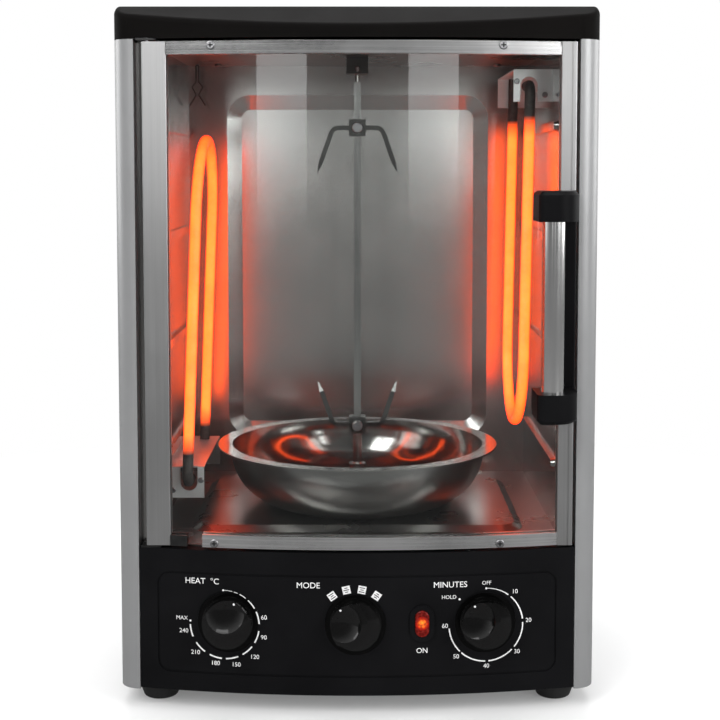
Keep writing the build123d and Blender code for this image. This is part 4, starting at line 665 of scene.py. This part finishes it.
# Timer scale: a thin arc that thickens, then five bars
timer_knob = middle("timer_knob")
timer_print = Print("timer_scale", timer_knob.x + TIMER_SHIFT, timer_knob.z - PRINT_DROP)
timer_print.dot(TIMER_RADIUS, 0.0, LARGE_DOT)
timer_print.arc(TIMER_RADIUS, 0.0, 37.0, 0.35, 0.8)
for start in TIMER_BARS:
    timer_print.arc(TIMER_RADIUS, start, start + TIMER_BAR_SWEEP, 0.85, 0.95)
timer_print.dot(HOLD_RADIUS, HOLD_ANGLE, LARGE_DOT)
timer_steps = (
    ("OFF", 0.2, 30.0),
    ("10", 20.4, 23.0),
    ("20", 30.4, 1.8),
    ("30", 22.2, -20.4),
    ("40", 0.3, -29.8),
    ("50", -21.2, -22.2),
    ("60", -29.2, 0.0),
    ("HOLD", -26.4, 20.6),
)
for words, x, z in timer_steps:
    timer_print.text(words, x, z, NUMBER_SIZE if words.isdigit() else WORD_SIZE)
timer_print.text("MINUTES", -25.5, 29.4, LABEL_SIZE)
timer_print.lay(white_ink)

# Gloss rings behind the knobs
for name, knob in (("heat", heat_knob), ("mode", mode_knob), ("timer", timer_knob)):
    ring = Print(name + "_ring", knob.x, knob.z - PRINT_DROP / 2)
    ring.arc(RING_MIDDLE, 0.0, 360.0, RING_WIDTH, RING_WIDTH)
    ring.lay(gloss_ink, PRINT_LIFT / 2)

# Word below the lamp
lamp_print = Print("lamp_word", lamp_x, lamp_z)
lamp_print.text("ON", 0.0, -LAMP_WORD_DROP, LAMP_WORD_SIZE)
lamp_print.lay(white_ink)


# White dots on the knobs, each set on the part of the knob that a ray from the front meets
DOT_RADIUS = 0.0008
DOT_REACH = 0.0157
DOT_ANGLES = (19.0, -42.0, -32.0)
DOT_PROFILE = ((1.0, -0.00005), (0.94, 0.00012), (0.6, 0.0002))
ROUND_SIDES = 20
RAY_START_Y = -1.0


def knob_dot(node, angle):
    """Small domed dot near the knob's rim, clockwise from the top."""
    center = middle(node)
    turn = math.radians(angle)
    start_x = center.x + DOT_REACH * math.sin(turn)
    start_z = center.z + DOT_REACH * math.cos(turn)
    start = Vector((start_x, RAY_START_Y, start_z))
    _, place, normal, _ = nodes[node].ray_cast(start, Vector((0.0, 1.0, 0.0)))
    mesh = bmesh.new()
    rings = []
    for share, rise in DOT_PROFILE:
        points = circle(DOT_RADIUS * share, ROUND_SIDES)
        rings.append([mesh.verts.new((across, up, rise)) for across, up in points])
    skin(mesh, rings)
    toward = normal.to_track_quat("Z", "Y").to_matrix().to_4x4()
    mesh.transform(toward)
    for vertex in mesh.verts:
        vertex.co += place
    piece = add_object(node + "_dot", mesh, white_ink)
    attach(piece, node)


for node, angle in zip(KNOBS, DOT_ANGLES):
    knob_dot(node, angle)


# Screw heads on the heater brackets, by radius and rise, and the dark crosses painted as shade in the door
# screws' recesses
SCREW_PROFILE = ((0.0022, -0.0001), (0.0021, 0.0007), (0.0015, 0.0012), (0.0006, 0.0012), (0.0004, 0.0007))
SCREW_INNER = 0.1194
SCREW_OUTER = 0.1405
LEFT_SCREWS = ((-SCREW_INNER, 0.1475), (-SCREW_OUTER, 0.1400))
RIGHT_SCREWS = ((SCREW_INNER, 0.4500), (SCREW_OUTER, 0.4400))
DOOR_SCREW_RADIUS = 0.003
CROSS_LENGTH = 0.0036
CROSS_WIDTH = 0.00096
CROSS_DEPTH = 0.0005


def bracket_screws(name, bracket, places):
    """Round screw heads on a heater bracket's front plate."""
    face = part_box(bracket)[0].y
    mesh = bmesh.new()
    for x, z in places:
        rings = []
        for radius, rise in SCREW_PROFILE:
            points = circle(radius, ROUND_SIDES)
            rings.append([mesh.verts.new((x + across, face - rise, z + up)) for across, up in points])
        skin(mesh, rings)
    bmesh.ops.recalc_face_normals(mesh, faces=mesh.faces[:])
    piece = add_object(name, mesh, screw_steel)
    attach(piece, "cabinet")


def paint_screw_recess_shade():
    """Painted shade: a dark cross in the recess of each door screw."""
    low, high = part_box("door_screws")
    mesh = bmesh.new()
    for x in (low.x + DOOR_SCREW_RADIUS, high.x - DOOR_SCREW_RADIUS):
        for z in (low.z + DOOR_SCREW_RADIUS, high.z - DOOR_SCREW_RADIUS):
            for width, height in ((CROSS_LENGTH, CROSS_WIDTH), (CROSS_WIDTH, CROSS_LENGTH)):
                corners = []
                for across, up in CORNERS:
                    place = (x + across * width / 2, low.y + CROSS_DEPTH, z + up * height / 2)
                    corners.append(mesh.verts.new(place))
                mesh.faces.new(corners)
    piece = add_object("door_screw_recess_shade", mesh, black_ink_and_painted_shade)
    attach(piece, "door")


bracket_screws("bracket_screws_left", "heater_bracket_left", LEFT_SCREWS)
bracket_screws("bracket_screws_right", "heater_bracket_right", RIGHT_SCREWS)
paint_screw_recess_shade()


# Floor, world and lamps
FLOOR_HALF = 6.0
FLOOR_CELLS = 8
FLOOR_NEAR = 0.25
FLOOR_FAR = 0.9
FLOOR_NEAR_WHITE = 0.15
FLOOR_MIRROR_LEVEL = 0.13
FLOOR_MIRROR_SHARE = 0.9
WHITE = (1.0, 1.0, 1.0, 1.0)
AMBIENT_LEVEL = 0.42
FRONT_LEVEL = 0.14
FRONT_END = -0.75
FRONT_START = 0.15
STRIP_FULL = 0.8
LAMP_TARGET = (0.0, 0.0, 0.25)
STRIP_KEPT_OFF = (
    *KNOBS,
    "drip_bowl",
    "floor_pan",
    "lamp_lens",
    "side_wall_left",
    "side_wall_right",
    "door_rail_top",
)


def stage_floor():
    """Pale floor that keeps the shadow near the grill, fades to white and is dim in mirrors."""
    tree = Tree("floor_paper")
    tree.color(tree.ramp(tree.noise(scale=3.0), grey(0.86), grey(0.90)))
    tree.roughness(tree.spread(tree.noise(scale=200.0), 0.75, 0.9))
    length = tree.add("ShaderNodeVectorMath")
    length.operation = "LENGTH"
    tree.link(tree.place, length.inputs[0])
    far = tree.spread(length.outputs["Value"], FLOOR_NEAR_WHITE, 1.0, low=FLOOR_NEAR, high=FLOOR_FAR)
    path = tree.add("ShaderNodeLightPath")
    seen = tree.math("MAXIMUM", path.outputs["Is Camera Ray"], path.outputs["Is Transmission Ray"])
    white = tree.add("ShaderNodeEmission")
    white.inputs["Strength"].default_value = 1.0
    fading = tree.math("MULTIPLY", far, seen)
    paper = tree.mix(fading, tree.shader.outputs["BSDF"], white.outputs["Emission"])
    dim = tree.add("ShaderNodeEmission")
    dim.inputs["Strength"].default_value = FLOOR_MIRROR_LEVEL
    mirrored = tree.math("MULTIPLY", path.outputs["Is Glossy Ray"], FLOOR_MIRROR_SHARE)
    tree.link(tree.mix(mirrored, paper, dim.outputs["Emission"]), tree.surface)
    mesh = bmesh.new()
    bmesh.ops.create_grid(mesh, x_segments=FLOOR_CELLS, y_segments=FLOOR_CELLS, size=FLOOR_HALF)
    floor = add_object("floor", mesh, tree.material)


def studio_world():
    """White to the camera; in mirrors white behind the grill and dim before it; soft light elsewhere."""
    world = bpy.data.worlds.new("studio")
    world.use_nodes = True
    tree = Nodes(world.node_tree)
    ambient = world.node_tree.nodes["Background"]
    ambient.inputs["Color"].default_value = WHITE
    ambient.inputs["Strength"].default_value = AMBIENT_LEVEL
    depth = tree.axis(tree.add("ShaderNodeTexCoord").outputs["Generated"], "Y")
    fade = tree.spread(depth, FRONT_LEVEL, 1.0, low=FRONT_END, high=FRONT_START, smooth=True)
    path = tree.add("ShaderNodeLightPath")
    shown = tree.math("MAXIMUM", path.outputs["Is Camera Ray"], path.outputs["Is Transmission Ray"])
    level = tree.math("MAXIMUM", shown, fade)
    seen = tree.math("MAXIMUM", shown, path.outputs["Is Glossy Ray"])
    white = tree.add("ShaderNodeBackground")
    white.inputs["Color"].default_value = WHITE
    tree.link(level, white.inputs["Strength"])
    studio = tree.mix(seen, ambient.outputs["Background"], white.outputs["Background"])
    tree.link(studio, world.node_tree.nodes["World Output"].inputs["Surface"])
    scene.world = world


def softbox(name, place, target, width, height, power):
    """Rectangular lamp at place, turned to its target."""
    data = bpy.data.lights.new(name, "AREA")
    data.shape = "RECTANGLE"
    data.size = width
    data.size_y = height
    data.energy = power
    lamp = bpy.data.objects.new(name, data)
    lamp.location = place
    lamp.rotation_euler = (Vector(target) - Vector(place)).to_track_quat("-Z", "Y").to_euler()
    scene.collection.objects.link(lamp)
    return lamp


def keep_off(lamp, *names):
    """Keep a lamp's light, and so its mirror image, off the named nodes."""
    group = bpy.data.collections.new(lamp.name + "_kept_off")
    for name in names:
        group.objects.link(nodes[name])
    lamp.light_linking.receiver_collection = group
    for member in group.collection_objects:
        member.light_linking.link_state = "EXCLUDE"


def strip_box(side):
    """Narrow lamp that the bowed glass mirrors as a pale band, fading towards its lower end."""
    place = (side * 0.33, -1.5, 0.50)
    target = (side * 0.05, 0.0, 0.43)
    lamp = softbox("strip", place, target, width=0.22, height=0.52, power=2.0)
    lamp.data.use_nodes = True
    tree = Nodes(lamp.data.node_tree)
    height = tree.axis(tree.add("ShaderNodeNewGeometry").outputs["Parametric"], "Y")
    fade = tree.spread(height, 0.0, 1.0, low=0.0, high=STRIP_FULL, smooth=True)
    tree.link(fade, lamp.data.node_tree.nodes["Emission"].inputs["Strength"])
    keep_off(lamp, *STRIP_KEPT_OFF)


def side_box(side):
    """Broad lamp beside the grill."""
    place = (side * 2.0, 0.6, 0.8)
    softbox("side", place, (0.0, 0.1, 0.25), width=1.2, height=1.2, power=11.0)


stage_floor()
studio_world()
key = softbox("key", (-1.0, -1.5, 1.5), LAMP_TARGET, width=1.0, height=1.2, power=26.0)
keep_off(key, *KNOBS)
fill = softbox("fill", (1.4, -1.2, 0.9), LAMP_TARGET, width=0.9, height=1.2, power=20.0)
keep_off(fill, *KNOBS)
for side in (-1, 1):
    strip_box(side)
    side_box(side)
softbox("top", (0.0, 0.2, 2.0), (0.0, 0.0, 0.3), width=1.4, height=1.4, power=18.0)
softbox("back", (0.0, 1.9, 1.2), LAMP_TARGET, width=1.6, height=1.0, power=20.0)
